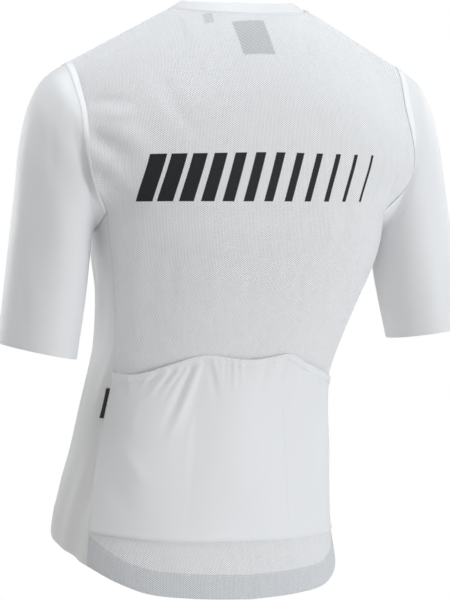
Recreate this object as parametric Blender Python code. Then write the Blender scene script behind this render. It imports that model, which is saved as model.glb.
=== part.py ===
"""A cycling jersey with short sleeves, hollow and in its worn shape.

Units are metres, +Z is up and the front faces -Y, so the wearer's left is +X. The origin is the centre
of the neck opening, level with the tops of the shoulder seams, where the wearer's shoulders hold the
jersey up.

The body is a stack of horizontal sections up to the armholes. Above them the back and the front are drawn
through a few guide rows up to the shoulder seams and the neck, and each sleeve through a fan of rings. Every
piece is a grid of points on those surfaces, drawn in at its seams and given the thickness of its cloth.
"""

import math

import bmesh
import bpy
from mathutils import Matrix, Vector
from mathutils.kdtree import KDTree


def table(columns, *rows):
    """Rows of a table as dictionaries that are read by column name."""
    names = columns.split()
    return [dict(zip(names, row)) for row in rows]


# Cloth and seams
CLOTH = 0.0012
COLLAR_CLOTH = 0.0018
TAPE_CLOTH = 0.0008
SEAM_GAP = 0.0003
DRAW_IN = 0.0002
LAID_GAP = 0.0005

# Grid steps, the same on both sides of every seam
BODY_ROWS = 17
YOKE_ROWS = 4
NECK_COLUMNS = 6
SHOULDER_COLUMNS = 6
SIDE_COLUMNS = 7
SLEEVE_ROWS = 2
POCKET_ROWS = 10

# Horizontal sections of the body. left, forward and turn (degrees) carry each section's place in the
# pose, and seam is the angle from the centre back at which the back is sewn to the front.
BODY = table(
    "height  half_width  back   front  left   forward  turn  square  seam",
    (-0.710, 0.178, 0.126, 0.112, 0.033, 0.055, 10.0, 2.15, 71.5),
    (-0.650, 0.178, 0.126, 0.114, 0.033, 0.055, 10.0, 2.15, 71.0),
    (-0.599, 0.173, 0.120, 0.114, 0.036, 0.054, 9.5, 2.15, 68.8),
    (-0.547, 0.165, 0.114, 0.112, 0.033, 0.049, 8.5, 2.15, 70.0),
    (-0.512, 0.159, 0.108, 0.110, 0.029, 0.045, 7.5, 2.15, 71.2),
    (-0.460, 0.152, 0.098, 0.107, 0.025, 0.039, 6.5, 2.15, 71.3),
    (-0.425, 0.148, 0.094, 0.106, 0.021, 0.033, 5.5, 2.2, 71.5),
    (-0.390, 0.149, 0.095, 0.108, 0.014, 0.025, 4.5, 2.25, 75.0),
    (-0.338, 0.157, 0.100, 0.113, 0.006, 0.013, 2.5, 2.35, 77.3),
    (-0.300, 0.165, 0.104, 0.116, 0.001, 0.005, 1.0, 2.45, 78.0),
    (-0.268, 0.171, 0.107, 0.118, 0.000, 0.000, 0.0, 2.5, 78.5),
    (-0.236, 0.174, 0.109, 0.119, 0.000, 0.000, 0.0, 2.6, 78.3),
)
ARMPIT = BODY[-1]["height"]
ARMHOLE_DIP = 0.021

# Height of the hem, by pattern angle from the centre back (0) round to the zip (180)
HEM = table(
    "angle  height",
    (0, -0.680),
    (20, -0.677),
    (40, -0.671),
    (55, -0.658),
    (72, -0.640),
    (100, -0.616),
    (140, -0.583),
    (180, -0.570),
)
BACK_SEAM = 72.0
FRONT_FOLD = 112.0

# Neck and shoulders
NECK_HALF_WIDTH = 0.082
NECK_BACK = 0.066
NECK_FRONT = 0.076
NECK_Y = -0.002
BACK_NECK_DROP = 0.009
FRONT_NECK_DROP = 0.074
NECK_SHARE = 0.42
SHOULDER_END = Vector((0.203, -0.010, -0.064))
COLLAR_WIDTH = 0.017

# Guide rows between the armhole level and the shoulder seam; bend says how the row falls away to its edge.
BACK_GUIDES = table(
    "centre_y  centre_z  edge_x  edge_y  edge_z  bend  spread",
    (0.109, -0.168, 0.196, 0.058, -0.198, 2.6, 0.80),
    (0.098, -0.088, 0.199, 0.036, -0.112, 2.2, 0.90),
)
FRONT_GUIDES = table(
    "centre_y  centre_z  edge_x  edge_y  edge_z  bend  spread",
    (-0.119, -0.178, 0.177, -0.056, -0.188, 2.4, 0.80),
    (-0.102, -0.128, 0.190, -0.040, -0.112, 2.2, 0.90),
)

# Rings of each sleeve, from just off the armhole to the cuff: the highest and the lowest point of each,
# out from the middle, and how far it reaches to the front and back. The left arm hangs lower.
LEFT, RIGHT = 1, -1
SLEEVES = {
    LEFT: table(
        "top_out  top_z  under_out  under_z  half_depth",
        (0.2260, -0.078, 0.1795, -0.261, 0.060),
        (0.2450, -0.105, 0.1805, -0.269, 0.060),
        (0.2575, -0.150, 0.1815, -0.285, 0.058),
        (0.2655, -0.216, 0.1835, -0.310, 0.056),
        (0.2760, -0.303, 0.1880, -0.348, 0.053),
        (0.2860, -0.386, 0.1970, -0.403, 0.051),
    ),
    RIGHT: table(
        "top_out  top_z  under_out  under_z  half_depth",
        (0.2255, -0.078, 0.1795, -0.261, 0.060),
        (0.2425, -0.105, 0.1805, -0.269, 0.060),
        (0.2550, -0.150, 0.1815, -0.285, 0.058),
        (0.2660, -0.216, 0.1840, -0.310, 0.056),
        (0.2810, -0.303, 0.1900, -0.343, 0.053),
        (0.2960, -0.369, 0.1990, -0.384, 0.051),
    ),
}

# Pockets, from the left: where their sides lie at foot and mouth as a share of the way from the centre
# back to the back seam, and how far they stand off the back. Then the height of the foot and the mouth
# across the back.
POCKETS = table(
    "foot_left  mouth_left  foot_right  mouth_right  mouth  belly  columns",
    (0.996, 0.996, 0.320, 0.270, 0.0072, 0.0060, 26),
    (0.320, 0.270, -0.300, -0.245, 0.0062, 0.0055, 18),
    (-0.300, -0.245, -0.996, -0.996, 0.0070, 0.0052, 20),
)
POCKET_FOOT = table(
    "across  height",
    (-1.0, -0.609),
    (-0.4, -0.613),
    (0.4, -0.612),
    (0.7, -0.607),
    (1.0, -0.601),
)
POCKET_MOUTH = table(
    "across  height",
    (-1.00, -0.430),
    (-0.70, -0.422),
    (-0.40, -0.409),
    (-0.24, -0.399),
    (0.00, -0.4045),
    (0.27, -0.3995),
    (0.50, -0.410),
    (0.70, -0.420),
    (0.85, -0.422),
    (1.00, -0.420),
)
POCKET_SIDE_ROUND = 0.7
POCKET_LIFT = 0.0002
BINDING_WIDTH = 0.009
TAPE_WIDTH = 0.006
TAPE_LIFT = 0.0018
# Folds that hang from the pockets' gathered mouth: where each starts, how far it drifts by its end, how
# deep and wide it is, and its length as a share of the pocket's height.
POCKET_FOLDS = table(
    "across  drift  depth  width  length",
    (0.70, 0.05, 0.0010, 0.030, 0.20),
    (0.60, 0.09, 0.0013, 0.030, 0.28),
    (0.51, 0.13, 0.0016, 0.032, 0.36),
    (0.42, 0.16, 0.0021, 0.034, 0.50),
    (0.345, 0.17, 0.0026, 0.036, 0.62),
    (0.27, -0.03, 0.0018, 0.028, 0.30),
    (0.20, -0.02, 0.0015, 0.026, 0.24),
    (0.13, 0.00, 0.0016, 0.026, 0.28),
    (0.06, 0.00, 0.0013, 0.026, 0.22),
    (-0.03, 0.02, 0.0011, 0.030, 0.18),
    (-0.13, 0.03, 0.0009, 0.032, 0.20),
    (-0.24, 0.04, 0.0009, 0.032, 0.24),
    (-0.42, -0.06, 0.0012, 0.034, 0.30),
    (-0.56, -0.05, 0.0010, 0.034, 0.24),
    (-0.70, -0.03, 0.0009, 0.034, 0.20),
)

# Hem facing, labels
HEM_TURN_UP = 0.030
NECK_LABEL_WIDTH = 0.042
NECK_LABEL_HEIGHT = 0.042
NECK_LABEL_TOP = -0.019
NECK_LABEL_SLANT = 0.002
NECK_LABEL_LEFT = 0.007
SIZE_TAB_SHARE = 0.19
SIZE_TAB_WIDTH = 0.012
SIZE_TAB_HEIGHT = 0.014
LOOP_LABEL_TOP = -0.438
LOOP_LABEL_HEIGHT = 0.034
LOOP_LABEL_REACH = 2.4

# Zip
ZIP_SLOT = 0.0050
TAPE_INNER = 0.0025
TAPE_OUTER = 0.0130
CHAIN_HALF_WIDTH = 0.0020
CHAIN_DEPTH = 0.0020
CHAIN_FACE = -0.0006
CHAIN_ABOVE_CENTRE = 0.0008
SLIDER_LENGTH = 0.0100
SLIDER_HALF_WIDTH = 0.0036
SLIDER_PLATE = 0.0010
SLIDER_ABOVE_SEAM = 0.0080
WEDGE_HALF_WIDTH = 0.0017
WEDGE_LENGTH = 0.0035
BRIDGE_WIDTH = 0.0014
BRIDGE_REACH = 0.0036
BRIDGE_BAR = 0.0009
PULL_PIN_RADIUS = 0.0005
PULL_PIN_HEIGHT = 0.0011
PULL_HALF_WIDTH = 0.0032
PULL_ARM = 0.0009
PULL_EYE = 0.0050
PULL_LENGTH = 0.0280
PULL_THICKNESS = 0.0012
PULL_LEAN = math.radians(4.0)
STOP_SIZE = Vector((0.0056, 0.0034, 0.0080))

MATERIALS = {
    "mesh_white": ((0.80, 0.81, 0.82), 0.75, 0.0),
    "smooth_white": ((0.88, 0.89, 0.90), 0.55, 0.0),
    "tape_white": ((0.90, 0.91, 0.92), 0.50, 0.0),
    "zip_white": ((0.84, 0.85, 0.86), 0.60, 0.0),
    "zip_metal": ((0.75, 0.76, 0.78), 0.30, 1.0),
    "label_black": ((0.02, 0.02, 0.02), 0.60, 0.0),
    "label_grey": ((0.55, 0.57, 0.59), 0.70, 0.0),
}


# Curves -------------------------------------------------------------------------------------------


def hermite(start, start_slope, end, end_slope, share):
    """A point or number on the cubic from start to end, with slopes given per whole span."""
    s2, s3 = share * share, share**3
    return (
        start * (2 * s3 - 3 * s2 + 1)
        + start_slope * (s3 - 2 * s2 + share)
        + end * (3 * s2 - 2 * s3)
        + end_slope * (s3 - s2)
    )


def read(rows, key, value):
    """Every column of a table at one value of its key column, on a smooth curve through the rows."""
    last = len(rows) - 1
    i = next((k for k in range(1, last) if rows[k][key] >= value), last) - 1

    def slope(k, name):
        low, high = rows[max(k - 1, 0)], rows[min(k + 1, last)]
        return (high[name] - low[name]) / (high[key] - low[key])

    start, end = rows[i], rows[i + 1]
    span = end[key] - start[key]
    share = (value - start[key]) / span
    return {
        name: hermite(start[name], slope(i, name) * span, end[name], slope(i + 1, name) * span, share)
        for name in start
    }


def through(points, steps, first_slope=None, last_slope=None):
    """Points on a smooth curve through points, with steps to each span. Slopes are unit directions."""
    spans = [(b - a).length for a, b in zip(points, points[1:])]
    slopes = [(b - a) / span for a, b, span in zip(points, points[1:], spans)]
    inner = [
        (slopes[i] * spans[i + 1] + slopes[i + 1] * spans[i]) / (spans[i] + spans[i + 1])
        for i in range(len(spans) - 1)
    ]
    ends = [first_slope or slopes[0], *inner, last_slope or slopes[-1]]
    made = [points[0]]
    for i, span in enumerate(spans):
        for k in range(1, steps + 1):
            made.append(
                hermite(points[i], ends[i] * span, points[i + 1], ends[i + 1] * span, k / steps)
            )
    return made


def mix(start, end, share):
    return start + (end - start) * share


def power(value, exponent):
    """value to the exponent, with value's sign kept."""
    return math.copysign(abs(value) ** exponent, value)


# The body below the armholes ----------------------------------------------------------------------


def section_point(pattern, height):
    """The body's outer surface at a pattern angle (degrees left of the centre back) and a height."""
    row = read(BODY, "height", height)
    around = abs(pattern)
    if around <= BACK_SEAM:
        angle = around / BACK_SEAM * row["seam"]
    else:
        angle = row["seam"] + (around - BACK_SEAM) / (180 - BACK_SEAM) * (180 - row["seam"])
    angle = math.radians(math.copysign(angle, pattern))
    depth = row["back"] if math.cos(angle) > 0 else row["front"]
    x = row["half_width"] * power(math.sin(angle), 2 / row["square"])
    y = depth * power(math.cos(angle), 2 / row["square"])
    turn = math.radians(row["turn"])
    return Vector(
        (
            row["left"] + x * math.cos(turn) - y * math.sin(turn),
            x * math.sin(turn) + y * math.cos(turn) - row["forward"],
            height,
        )
    )


def section_normal(pattern, height, step=0.5):
    """The way out of the cloth at that place."""
    across = section_point(pattern - step, height) - section_point(pattern + step, height)
    up = section_point(pattern, height + 0.004) - section_point(pattern, height - 0.004)
    return across.cross(up).normalized()


def hem_height(pattern):
    return read(HEM, "angle", abs(pattern))["height"]


def armhole_foot(pattern):
    """Height of the top of the body's rows: level, but dipping under the arm."""
    share = (abs(pattern) - BACK_SEAM) / (FRONT_FOLD - BACK_SEAM)
    if not 0 < share < 1:
        return ARMPIT
    return ARMPIT - ARMHOLE_DIP * math.sin(math.pi * share)


def body_column(pattern):
    """Points up the body from the hem to the armhole level."""
    low, high = hem_height(pattern), armhole_foot(pattern)
    return [section_point(pattern, mix(low, high, k / BODY_ROWS)) for k in range(BODY_ROWS + 1)]


# The yoke: from the armholes to the neck and shoulder seams ---------------------------------------


def yoke_shares():
    """How far each column lies from the centre line (0) to the armhole (1)."""
    neck = [NECK_SHARE * k / NECK_COLUMNS for k in range(NECK_COLUMNS)]
    shoulder = [mix(NECK_SHARE, 1.0, k / SHOULDER_COLUMNS) for k in range(SHOULDER_COLUMNS + 1)]
    return neck + shoulder


def yoke_top(share, front):
    """A column's upper end: on the neck seam, or past NECK_SHARE on the shoulder seam."""
    if share <= NECK_SHARE:
        turn = math.radians(90 * share / NECK_SHARE)
        reach, drop = (-NECK_FRONT, FRONT_NECK_DROP) if front else (NECK_BACK, BACK_NECK_DROP)
        fall = math.cos(turn) ** (1.7 if front else 1.2)
        return Vector((NECK_HALF_WIDTH * math.sin(turn), NECK_Y + reach * math.cos(turn), -drop * fall))
    neck_point = Vector((NECK_HALF_WIDTH, NECK_Y, 0))
    return mix(neck_point, SHOULDER_END, (share - NECK_SHARE) / (1 - NECK_SHARE))


def guide_point(row, share):
    return Vector(
        (
            row["edge_x"] * share ** row["spread"],
            mix(row["centre_y"], row["edge_y"], share ** row["bend"]),
            mix(row["centre_z"], row["edge_z"], share**2),
        )
    )


def yoke_column(share, front):
    """Points up a column of the left half, from the armhole level to its top."""
    pattern = 180 - (180 - FRONT_FOLD) * share if front else BACK_SEAM * share
    foot = section_point(pattern, ARMPIT)
    knots = [foot, *(guide_point(row, share) for row in (FRONT_GUIDES if front else BACK_GUIDES))]
    knots.append(yoke_top(share, front))
    below = foot - section_point(pattern, ARMPIT - 0.02)
    way = 1 if front else -1
    over_shoulder = Vector((0, way, 0.15 * way))
    up_neck = Vector((0, 0.55 * way, 0.83))
    toward_neck = 1 - min(share / NECK_SHARE, 1) ** 2
    top_slope = mix(over_shoulder, up_neck, toward_neck).normalized()
    edge_slope = (knots[1] - knots[0]).normalized()
    first_slope = mix(below.normalized(), edge_slope, share**6).normalized()
    return through(knots, YOKE_ROWS, first_slope, top_slope)


def mirrored(points):
    return [Vector((-p.x, p.y, p.z)) for p in points]


def panel_column(share, side, front):
    """A whole column of the back or a front, from the hem up. side is 1 on the left and -1 on the right."""
    pattern = 180 - (180 - FRONT_FOLD) * share if front else BACK_SEAM * share
    upper = yoke_column(share, front)
    if side < 0:
        upper = mirrored(upper)
    return body_column(pattern * side)[:-1] + upper


# Sleeves ------------------------------------------------------------------------------------------


def armhole(side):
    """An armhole's seam line, as for the left, from the shoulder down the back and up the front."""
    back = yoke_column(1.0, front=False)[::-1]
    front = yoke_column(1.0, front=True)
    angles = [mix(BACK_SEAM, FRONT_FOLD, k / SIDE_COLUMNS) for k in range(1, SIDE_COLUMNS)]
    under = [section_point(angle * side, armhole_foot(angle)) for angle in angles]
    return back + (under if side > 0 else mirrored(under)) + front[:-1]


def ring_angles(line):
    """Where each point of a closed line goes on a ring: 0 at the shoulder, half a turn at its lowest."""
    lowest = min(range(len(line)), key=lambda k: line[k].z)
    walked = [0.0]
    for a, b in zip(line, line[1:] + line[:1]):
        walked.append(walked[-1] + (b - a).length)
    half, whole = walked[lowest], walked[-1]
    return [
        math.pi * (d / half if d <= half else 1 + (d - half) / (whole - half)) for d in walked[:-1]
    ]


def sleeve_ring_point(row, angle):
    top = Vector((row["top_out"], SHOULDER_END.y, row["top_z"]))
    under = Vector((row["under_out"], SHOULDER_END.y, row["under_z"]))
    middle, half = (top + under) / 2, (top - under) / 2
    return middle + half * math.cos(angle) + Vector((0, row["half_depth"] * math.sin(angle), 0))


def sleeve_columns(side):
    """Points down a sleeve, as for the left, from each point of the armhole, with a row at the tape's edge."""
    line = armhole(side)
    columns = [
        through([start, *(sleeve_ring_point(row, angle) for row in SLEEVES[side])], SLEEVE_ROWS)
        for start, angle in zip(line, ring_angles(line))
    ]
    for column in columns:
        way = column[1] - column[0]
        column.insert(1, column[0] + way * min(TAPE_WIDTH / way.length, 0.6))
    return columns


# Making sheets ------------------------------------------------------------------------------------


def add_grid(bm, columns):
    """Adds a grid primitive whose points are moved to columns[i][j]. Its faces look along column x row."""
    last_column, last_row = len(columns) - 1, len(columns[0]) - 1
    made = bmesh.ops.create_grid(bm, x_segments=last_column, y_segments=last_row, size=0.5)
    for vert in made["verts"]:
        column = round((vert.co.x + 0.5) * last_column)
        row = round((vert.co.y + 0.5) * last_row)
        vert.co = columns[column][row]


def sheet(*grids, flip=False):
    """An open sheet made of grids that share edges."""
    bm = bmesh.new()
    for columns in grids:
        add_grid(bm, columns)
    bmesh.ops.remove_doubles(bm, verts=bm.verts, dist=1e-6)
    if flip:
        bmesh.ops.reverse_faces(bm, faces=bm.faces)
    bm.normal_update()
    return bm


def shared_normals(sheets):
    """For each sheet, the way out at each of its points, which sheets that meet at a seam share."""
    borders = [vert for bm in sheets for vert in bm.verts if vert.is_boundary]
    tree = KDTree(len(borders))
    for k, vert in enumerate(borders):
        tree.insert(vert.co, k)
    tree.balance()

    def way_out(vert):
        if not vert.is_boundary:
            return vert.normal.copy()
        near = tree.find_range(vert.co, 1e-5)
        return sum((borders[k].normal for _, k, _ in near), Vector()).normalized()

    return [{vert: way_out(vert) for vert in bm.verts} for bm in sheets]


def border_insets(bm, distance):
    """How each border point of an open sheet moves to draw its border in by a distance."""
    pushes = {}
    for edge in bm.edges:
        if not edge.is_boundary:
            continue
        face = edge.link_faces[0]
        a, b = edge.verts
        inward = face.normal.cross(b.co - a.co).normalized()
        if inward.dot(face.calc_center_median() - a.co) < 0:
            inward.negate()
        for vert in (a, b):
            pushes.setdefault(vert, []).append(inward)
    return {
        vert: (first + second) * (distance / (1 + first.dot(second)))
        for vert, (first, second) in pushes.items()
    }


def thicken(bm, ways_out, thickness, draw_in):
    """Thickens an open sheet inwards, with its border drawn in and its rim along the seam's normal."""
    for vert, inset in border_insets(bm, draw_in).items():
        vert.co += inset
    faces = [list(face.verts) for face in bm.faces]
    rim = [
        (loop.vert, loop.link_loop_next.vert)
        for edge in bm.edges
        if edge.is_boundary
        for loop in edge.link_loops
    ]
    inner = {
        vert: bm.verts.new(vert.co - way * (thickness / max(way.dot(vert.normal), 0.7)))
        for vert, way in ways_out.items()
    }
    for verts in faces:
        bm.faces.new([inner[vert] for vert in reversed(verts)])
    for a, b in rim:
        bm.faces.new((b, a, inner[a], inner[b]))


def cloth(name, bm, material, thickness=CLOTH, draw_in=0.0, ways_out=None):
    """A sheet of cloth as an object."""
    thicken(bm, ways_out or shared_normals([bm])[0], thickness, draw_in)
    return new_object(name, bm, material)


def new_object(name, bm, material):
    mesh = bpy.data.meshes.new(name)
    bm.to_mesh(mesh)
    bm.free()
    mesh.shade_smooth()
    mesh.materials.append(bpy.data.materials[material])
    obj = bpy.data.objects.new(name, mesh)
    bpy.data.collections["cycling_jersey"].objects.link(obj)
    return obj


def lifted(columns, distance):
    """A grid of points moved out of the cloth, along its normals."""
    last_column, last_row = len(columns) - 1, len(columns[0]) - 1

    def normal(i, j):
        across = columns[min(i + 1, last_column)][j] - columns[max(i - 1, 0)][j]
        along = columns[i][min(j + 1, last_row)] - columns[i][max(j - 1, 0)]
        return across.cross(along).normalized()

    return [
        [point + normal(i, j) * distance for j, point in enumerate(column)]
        for i, column in enumerate(columns)
    ]


# The collar's line --------------------------------------------------------------------------------


def neck_line():
    """The neck seam from the left of the zip round the back to the right of it."""
    shares = [share for share in yoke_shares() if share <= NECK_SHARE]
    left = [yoke_top(share, front=True) for share in shares]
    left += [yoke_top(share, front=False) for share in shares[-2::-1]]
    return left + mirrored(left[:-1][::-1])


def collar_rise(point):
    """The way the collar stands on the neck seam: flat on the shoulders, steeper at the back and front."""
    inward = Vector((-point.x / NECK_HALF_WIDTH**2, -(point.y - NECK_Y) / NECK_BACK**2, 0)).normalized()
    lean = 32 + (20 if point.y > NECK_Y else 26) * inward.y**2
    lean = math.radians(lean)
    return inward * math.cos(lean) + Vector((0, 0, math.sin(lean)))


# Body pieces --------------------------------------------------------------------------------------


def back_panel():
    columns, _ = back_columns()
    return sheet(columns)


def front_panel(side):
    """One front, from beside the zip round the side to the back seam."""
    columns = [panel_column(share, side, front=True) for share in yoke_shares()]
    columns[0] = beside_zip(columns[0], columns[1])
    angles = [mix(FRONT_FOLD, BACK_SEAM, k / SIDE_COLUMNS) for k in range(SIDE_COLUMNS + 1)]
    flank = [body_column(angle * side) for angle in angles]
    return sheet(columns, flank, flip=side < 0)


def beside_zip(middle, neighbours):
    """Points of the centre front moved aside to leave the zip's slot; their border is then drawn in."""
    return [a + (b - a).normalized() * (ZIP_SLOT - DRAW_IN) for a, b in zip(middle, neighbours)]


def left_sleeve():
    columns = sleeve_columns(LEFT)
    return sheet([*columns, columns[0]], flip=True)


def right_sleeve():
    columns = [mirrored(column) for column in sleeve_columns(RIGHT)]
    return sheet([*columns, columns[0]])


def collar():
    line = neck_line()
    line[0] = beside_zip([line[0]], [line[1]])[0]
    line[-1] = beside_zip([line[-1]], [line[-2]])[0]
    return sheet([[p + collar_rise(p) * COLLAR_WIDTH * k for k in (0, 0.5, 1)] for p in line])


def body_pieces():
    """The pieces that meet edge to edge at seams."""
    pieces = (
        ("back_panel", back_panel(), "mesh_white", CLOTH),
        ("left_front", front_panel(1), "smooth_white", CLOTH),
        ("right_front", front_panel(-1), "smooth_white", CLOTH),
        ("left_sleeve", left_sleeve(), "smooth_white", CLOTH),
        ("right_sleeve", right_sleeve(), "smooth_white", CLOTH),
        ("collar", collar(), "smooth_white", COLLAR_CLOTH),
    )
    ways_out = shared_normals([bm for _, bm, _, _ in pieces])
    for (name, bm, material, thickness), ways in zip(pieces, ways_out):
        cloth(name, bm, material, thickness, DRAW_IN, ways)


def armhole_tapes():
    """A tape along the sleeve side of each armhole seam, from the back over the shoulder to the front."""
    turn = YOKE_ROWS * (len(BACK_GUIDES) + 1)
    for name, side in (("left_armhole_tape", LEFT), ("right_armhole_tape", RIGHT)):
        columns = sleeve_columns(side)
        over_shoulder = lifted(columns[-turn - 1 :] + columns[: turn + 2], -TAPE_LIFT)[1:-1]
        strip = [[mix(column[0], column[1], k) for k in (0.05, 1)] for column in over_shoulder]
        if side == RIGHT:
            strip = [mirrored(column) for column in strip]
        cloth(name, sheet(strip, flip=side == LEFT), "tape_white", TAPE_CLOTH)


# Pockets ------------------------------------------------------------------------------------------


def pocket_fold(across, up):
    """The depth of the gathers at a place on the pocket panel, whose mouth is at up = 1."""
    depth = 0.0
    for fold in POCKET_FOLDS:
        run = (1 - up) / fold["length"]
        if run < 1:
            middle = fold["across"] + fold["drift"] * run
            depth += fold["depth"] * (1 - run) * math.exp(-(((across - middle) / fold["width"]) ** 2))
    return depth


def pocket_point(pocket, share, up):
    """A point on a pocket's outside: share runs from its left to its right, up from foot to mouth."""
    left = mix(pocket["foot_left"], pocket["mouth_left"], up)
    right = mix(pocket["foot_right"], pocket["mouth_right"], up)
    across = mix(left, right, share)
    foot = read(POCKET_FOOT, "across", across)["height"]
    height = mix(foot, read(POCKET_MOUTH, "across", across)["height"], up)
    stand = 4 * pocket["belly"] * up * (1 - up) + pocket["mouth"] * up**2 + pocket_fold(across, up)
    stand *= math.sin(math.pi * share) ** POCKET_SIDE_ROUND
    pattern = across * BACK_SEAM
    off_back = CLOTH + LAID_GAP + POCKET_LIFT + stand
    return section_point(pattern, height) + section_normal(pattern, height) * off_back


def pocket_columns(rows):
    """Grid of the pocket panel over the given rows, with a column along each stitched line."""
    places = [(pocket, k / pocket["columns"]) for pocket in POCKETS for k in range(pocket["columns"])]
    places.append((POCKETS[-1], 1.0))
    return [[pocket_point(pocket, share, up) for up in rows] for pocket, share in places]


def pockets():
    tall = read(POCKET_MOUTH, "across", 0)["height"] - read(POCKET_FOOT, "across", 0)["height"]
    bound = 1 - BINDING_WIDTH / tall
    rows = [bound * k / (POCKET_ROWS - 1) for k in range(POCKET_ROWS)] + [1.0]
    cloth("pocket_panel", sheet(pocket_columns(rows)), "smooth_white")
    strip = lifted(pocket_columns([bound, 1.0]), TAPE_CLOTH + LAID_GAP)
    cloth("pocket_binding", sheet(strip), "tape_white", TAPE_CLOTH)


# Hem facing and labels ----------------------------------------------------------------------------


def back_columns():
    """The back's columns from its left seam to its right one, and each one's share of the way there."""
    shares = yoke_shares()
    signed = shares[::-1] + [-share for share in shares[1:]]
    side = lambda share: -1 if share < 0 else 1
    return [panel_column(abs(share), side(share), front=False) for share in signed], signed


def inside_back(depth=CLOTH + 2 * LAID_GAP):
    """A function for a column down the inside of the back at any share of the way to its left seam."""
    columns, signed = back_columns()
    columns = lifted(columns, -depth)

    def column_at(share):
        k = next(k for k in range(len(signed) - 1) if signed[k + 1] <= share)
        part = (signed[k] - share) / (signed[k] - signed[k + 1])
        return [mix(a, b, part) for a, b in zip(columns[k], columns[k + 1])]

    return column_at


def at_height(column, height):
    """The point of a rising column at a height, between its own points."""
    for a, b in zip(column, column[1:]):
        if a.z <= height <= b.z:
            return mix(a, b, (height - a.z) / (b.z - a.z))
    return column[0] if height < column[0].z else column[-1]


def hem_facing():
    """The turned-up hem of the back, inside it."""
    column_at = inside_back()
    shares = [0.985, *(share for share in back_columns()[1] if abs(share) < 1), -0.985]
    columns = []
    for share in shares:
        column = column_at(share)
        foot = column[0].z + 0.001
        columns.append([at_height(column, foot + HEM_TURN_UP * k / 2) for k in range(3)])
    cloth("hem_facing", sheet(columns), "mesh_white", TAPE_CLOTH)


def neck_labels():
    """The grey label inside the centre back, and the size tab that hangs from the collar seam."""
    column_at = inside_back()
    share_per_metre = NECK_SHARE / NECK_HALF_WIDTH * 0.72
    half = NECK_LABEL_WIDTH / 2 * share_per_metre
    middle = NECK_LABEL_LEFT * share_per_metre
    label = []
    for k in range(5):
        column = column_at(middle + half * (1 - k / 2))
        heights = [NECK_LABEL_TOP - NECK_LABEL_HEIGHT * (1 - j / 3) for j in range(4)]
        slants = [NECK_LABEL_SLANT * (j / 3 - 0.5) for j in range(4)]
        label.append([at_height(column, z) + Vector((x, 0, 0)) for z, x in zip(heights, slants)])
    cloth("neck_label", sheet(label), "label_grey", TAPE_CLOTH)

    tab = []
    for side in (1, 0, -1):
        column = column_at(SIZE_TAB_SHARE + side * SIZE_TAB_WIDTH / 2 * share_per_metre)
        down = (column[-2] - column[-1]).normalized()
        tab.append([column[-1] + down * SIZE_TAB_HEIGHT * k for k in (1, 0.5, 0.1)])
    cloth("size_tab", sheet(tab), "label_grey", TAPE_CLOTH)


def loop_label():
    """The small folded label sewn into the left back seam, lying forward on the side."""
    columns = []
    for k in range(3):
        angle = BACK_SEAM + 0.2 + LOOP_LABEL_REACH * k / 2
        column = []
        for j in range(4):
            height = LOOP_LABEL_TOP - LOOP_LABEL_HEIGHT * (1 - j / 3)
            lift = LAID_GAP + CLOTH + 0.0006 * k
            place = angle + 0.5 * (1 - j / 3)
            column.append(section_point(place, height) + section_normal(place, height) * lift)
        columns.append(column)
    cloth("loop_label", sheet(columns, flip=True), "label_black")


# Zip ----------------------------------------------------------------------------------------------


def beside_placket(side, distance, depth):
    """A line up a front and its collar, a distance from the centre and a depth inside their outer face."""
    columns = [panel_column(share, side, front=True) for share in yoke_shares()[:2]]
    for column in columns:
        foot = column[-1]
        column += [foot + collar_rise(foot) * COLLAR_WIDTH * k for k in (0.5, 0.97)]
    near, far = lifted(columns, -depth * side)
    return [a + (b - a).normalized() * distance for a, b in zip(near, far)]


def zip_tapes():
    for name, side in (("left_zip_tape", 1), ("right_zip_tape", -1)):
        depth = COLLAR_CLOTH + LAID_GAP
        columns = [beside_placket(side, reach, depth) for reach in (TAPE_INNER, TAPE_OUTER)]
        cloth(name, sheet(columns, flip=side < 0), "zip_white", TAPE_CLOTH)


def zip_chain():
    """The closed coil, from the hem to inside the slider."""
    columns = []
    for side in (-1, 1):
        line = beside_placket(side, CHAIN_HALF_WIDTH, -CHAIN_FACE)
        centre, _, rise = slider_placement()
        top = centre.z + CHAIN_ABOVE_CENTRE * rise.z
        columns.append([point for point in line if point.z < top - 0.002] + [at_height(line, top)])
    cloth("zip_chain", sheet(columns), "zip_white", CHAIN_DEPTH)


def box(bm, low, high):
    """Adds a box between two corners."""
    made = bmesh.ops.create_cube(bm, size=1.0)["verts"]
    bmesh.ops.scale(bm, vec=high - low, verts=made)
    bmesh.ops.translate(bm, vec=(low + high) / 2, verts=made)


def joined(name, pieces, material, placement):
    """Boxes and cylinders as one solid: each piece fills its own bmesh, and Boolean modifiers unite them."""
    objects = []
    for k, fill in enumerate(pieces):
        bm = bmesh.new()
        fill(bm)
        obj = new_object(name if k == 0 else f"{name}_piece_{k}", bm, material)
        objects.append(obj)
    first = objects[0]
    for other in objects[1:]:
        other.hide_render = True
        other.display_type = "WIRE"
        bpy.data.collections["cycling_jersey"].objects.unlink(other)
        bpy.data.collections["joining"].objects.link(other)
        union = first.modifiers.new(other.name, "BOOLEAN")
        union.operation = "UNION"
        union.object = other
    for obj in objects:
        obj.data.shade_flat()
        obj.matrix_world = placement
    return first


def fill_box(low, high):
    return lambda bm: box(bm, Vector(low), Vector(high))


def slider_placement():
    """The slider's frame: x to the left, y out of the cloth, z up the collar at the centre front."""
    neck = yoke_top(0, front=True)
    rise = collar_rise(neck)
    out = Vector((1, 0, 0)).cross(rise)
    centre = neck + rise * SLIDER_ABOVE_SEAM
    return centre, out, rise


def frame_at(centre, out, up):
    """A placement whose y is the way out and z the way up."""
    side = out.cross(up)
    matrix = Matrix((side, out, up)).transposed().to_4x4()
    matrix.translation = centre
    return matrix


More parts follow.
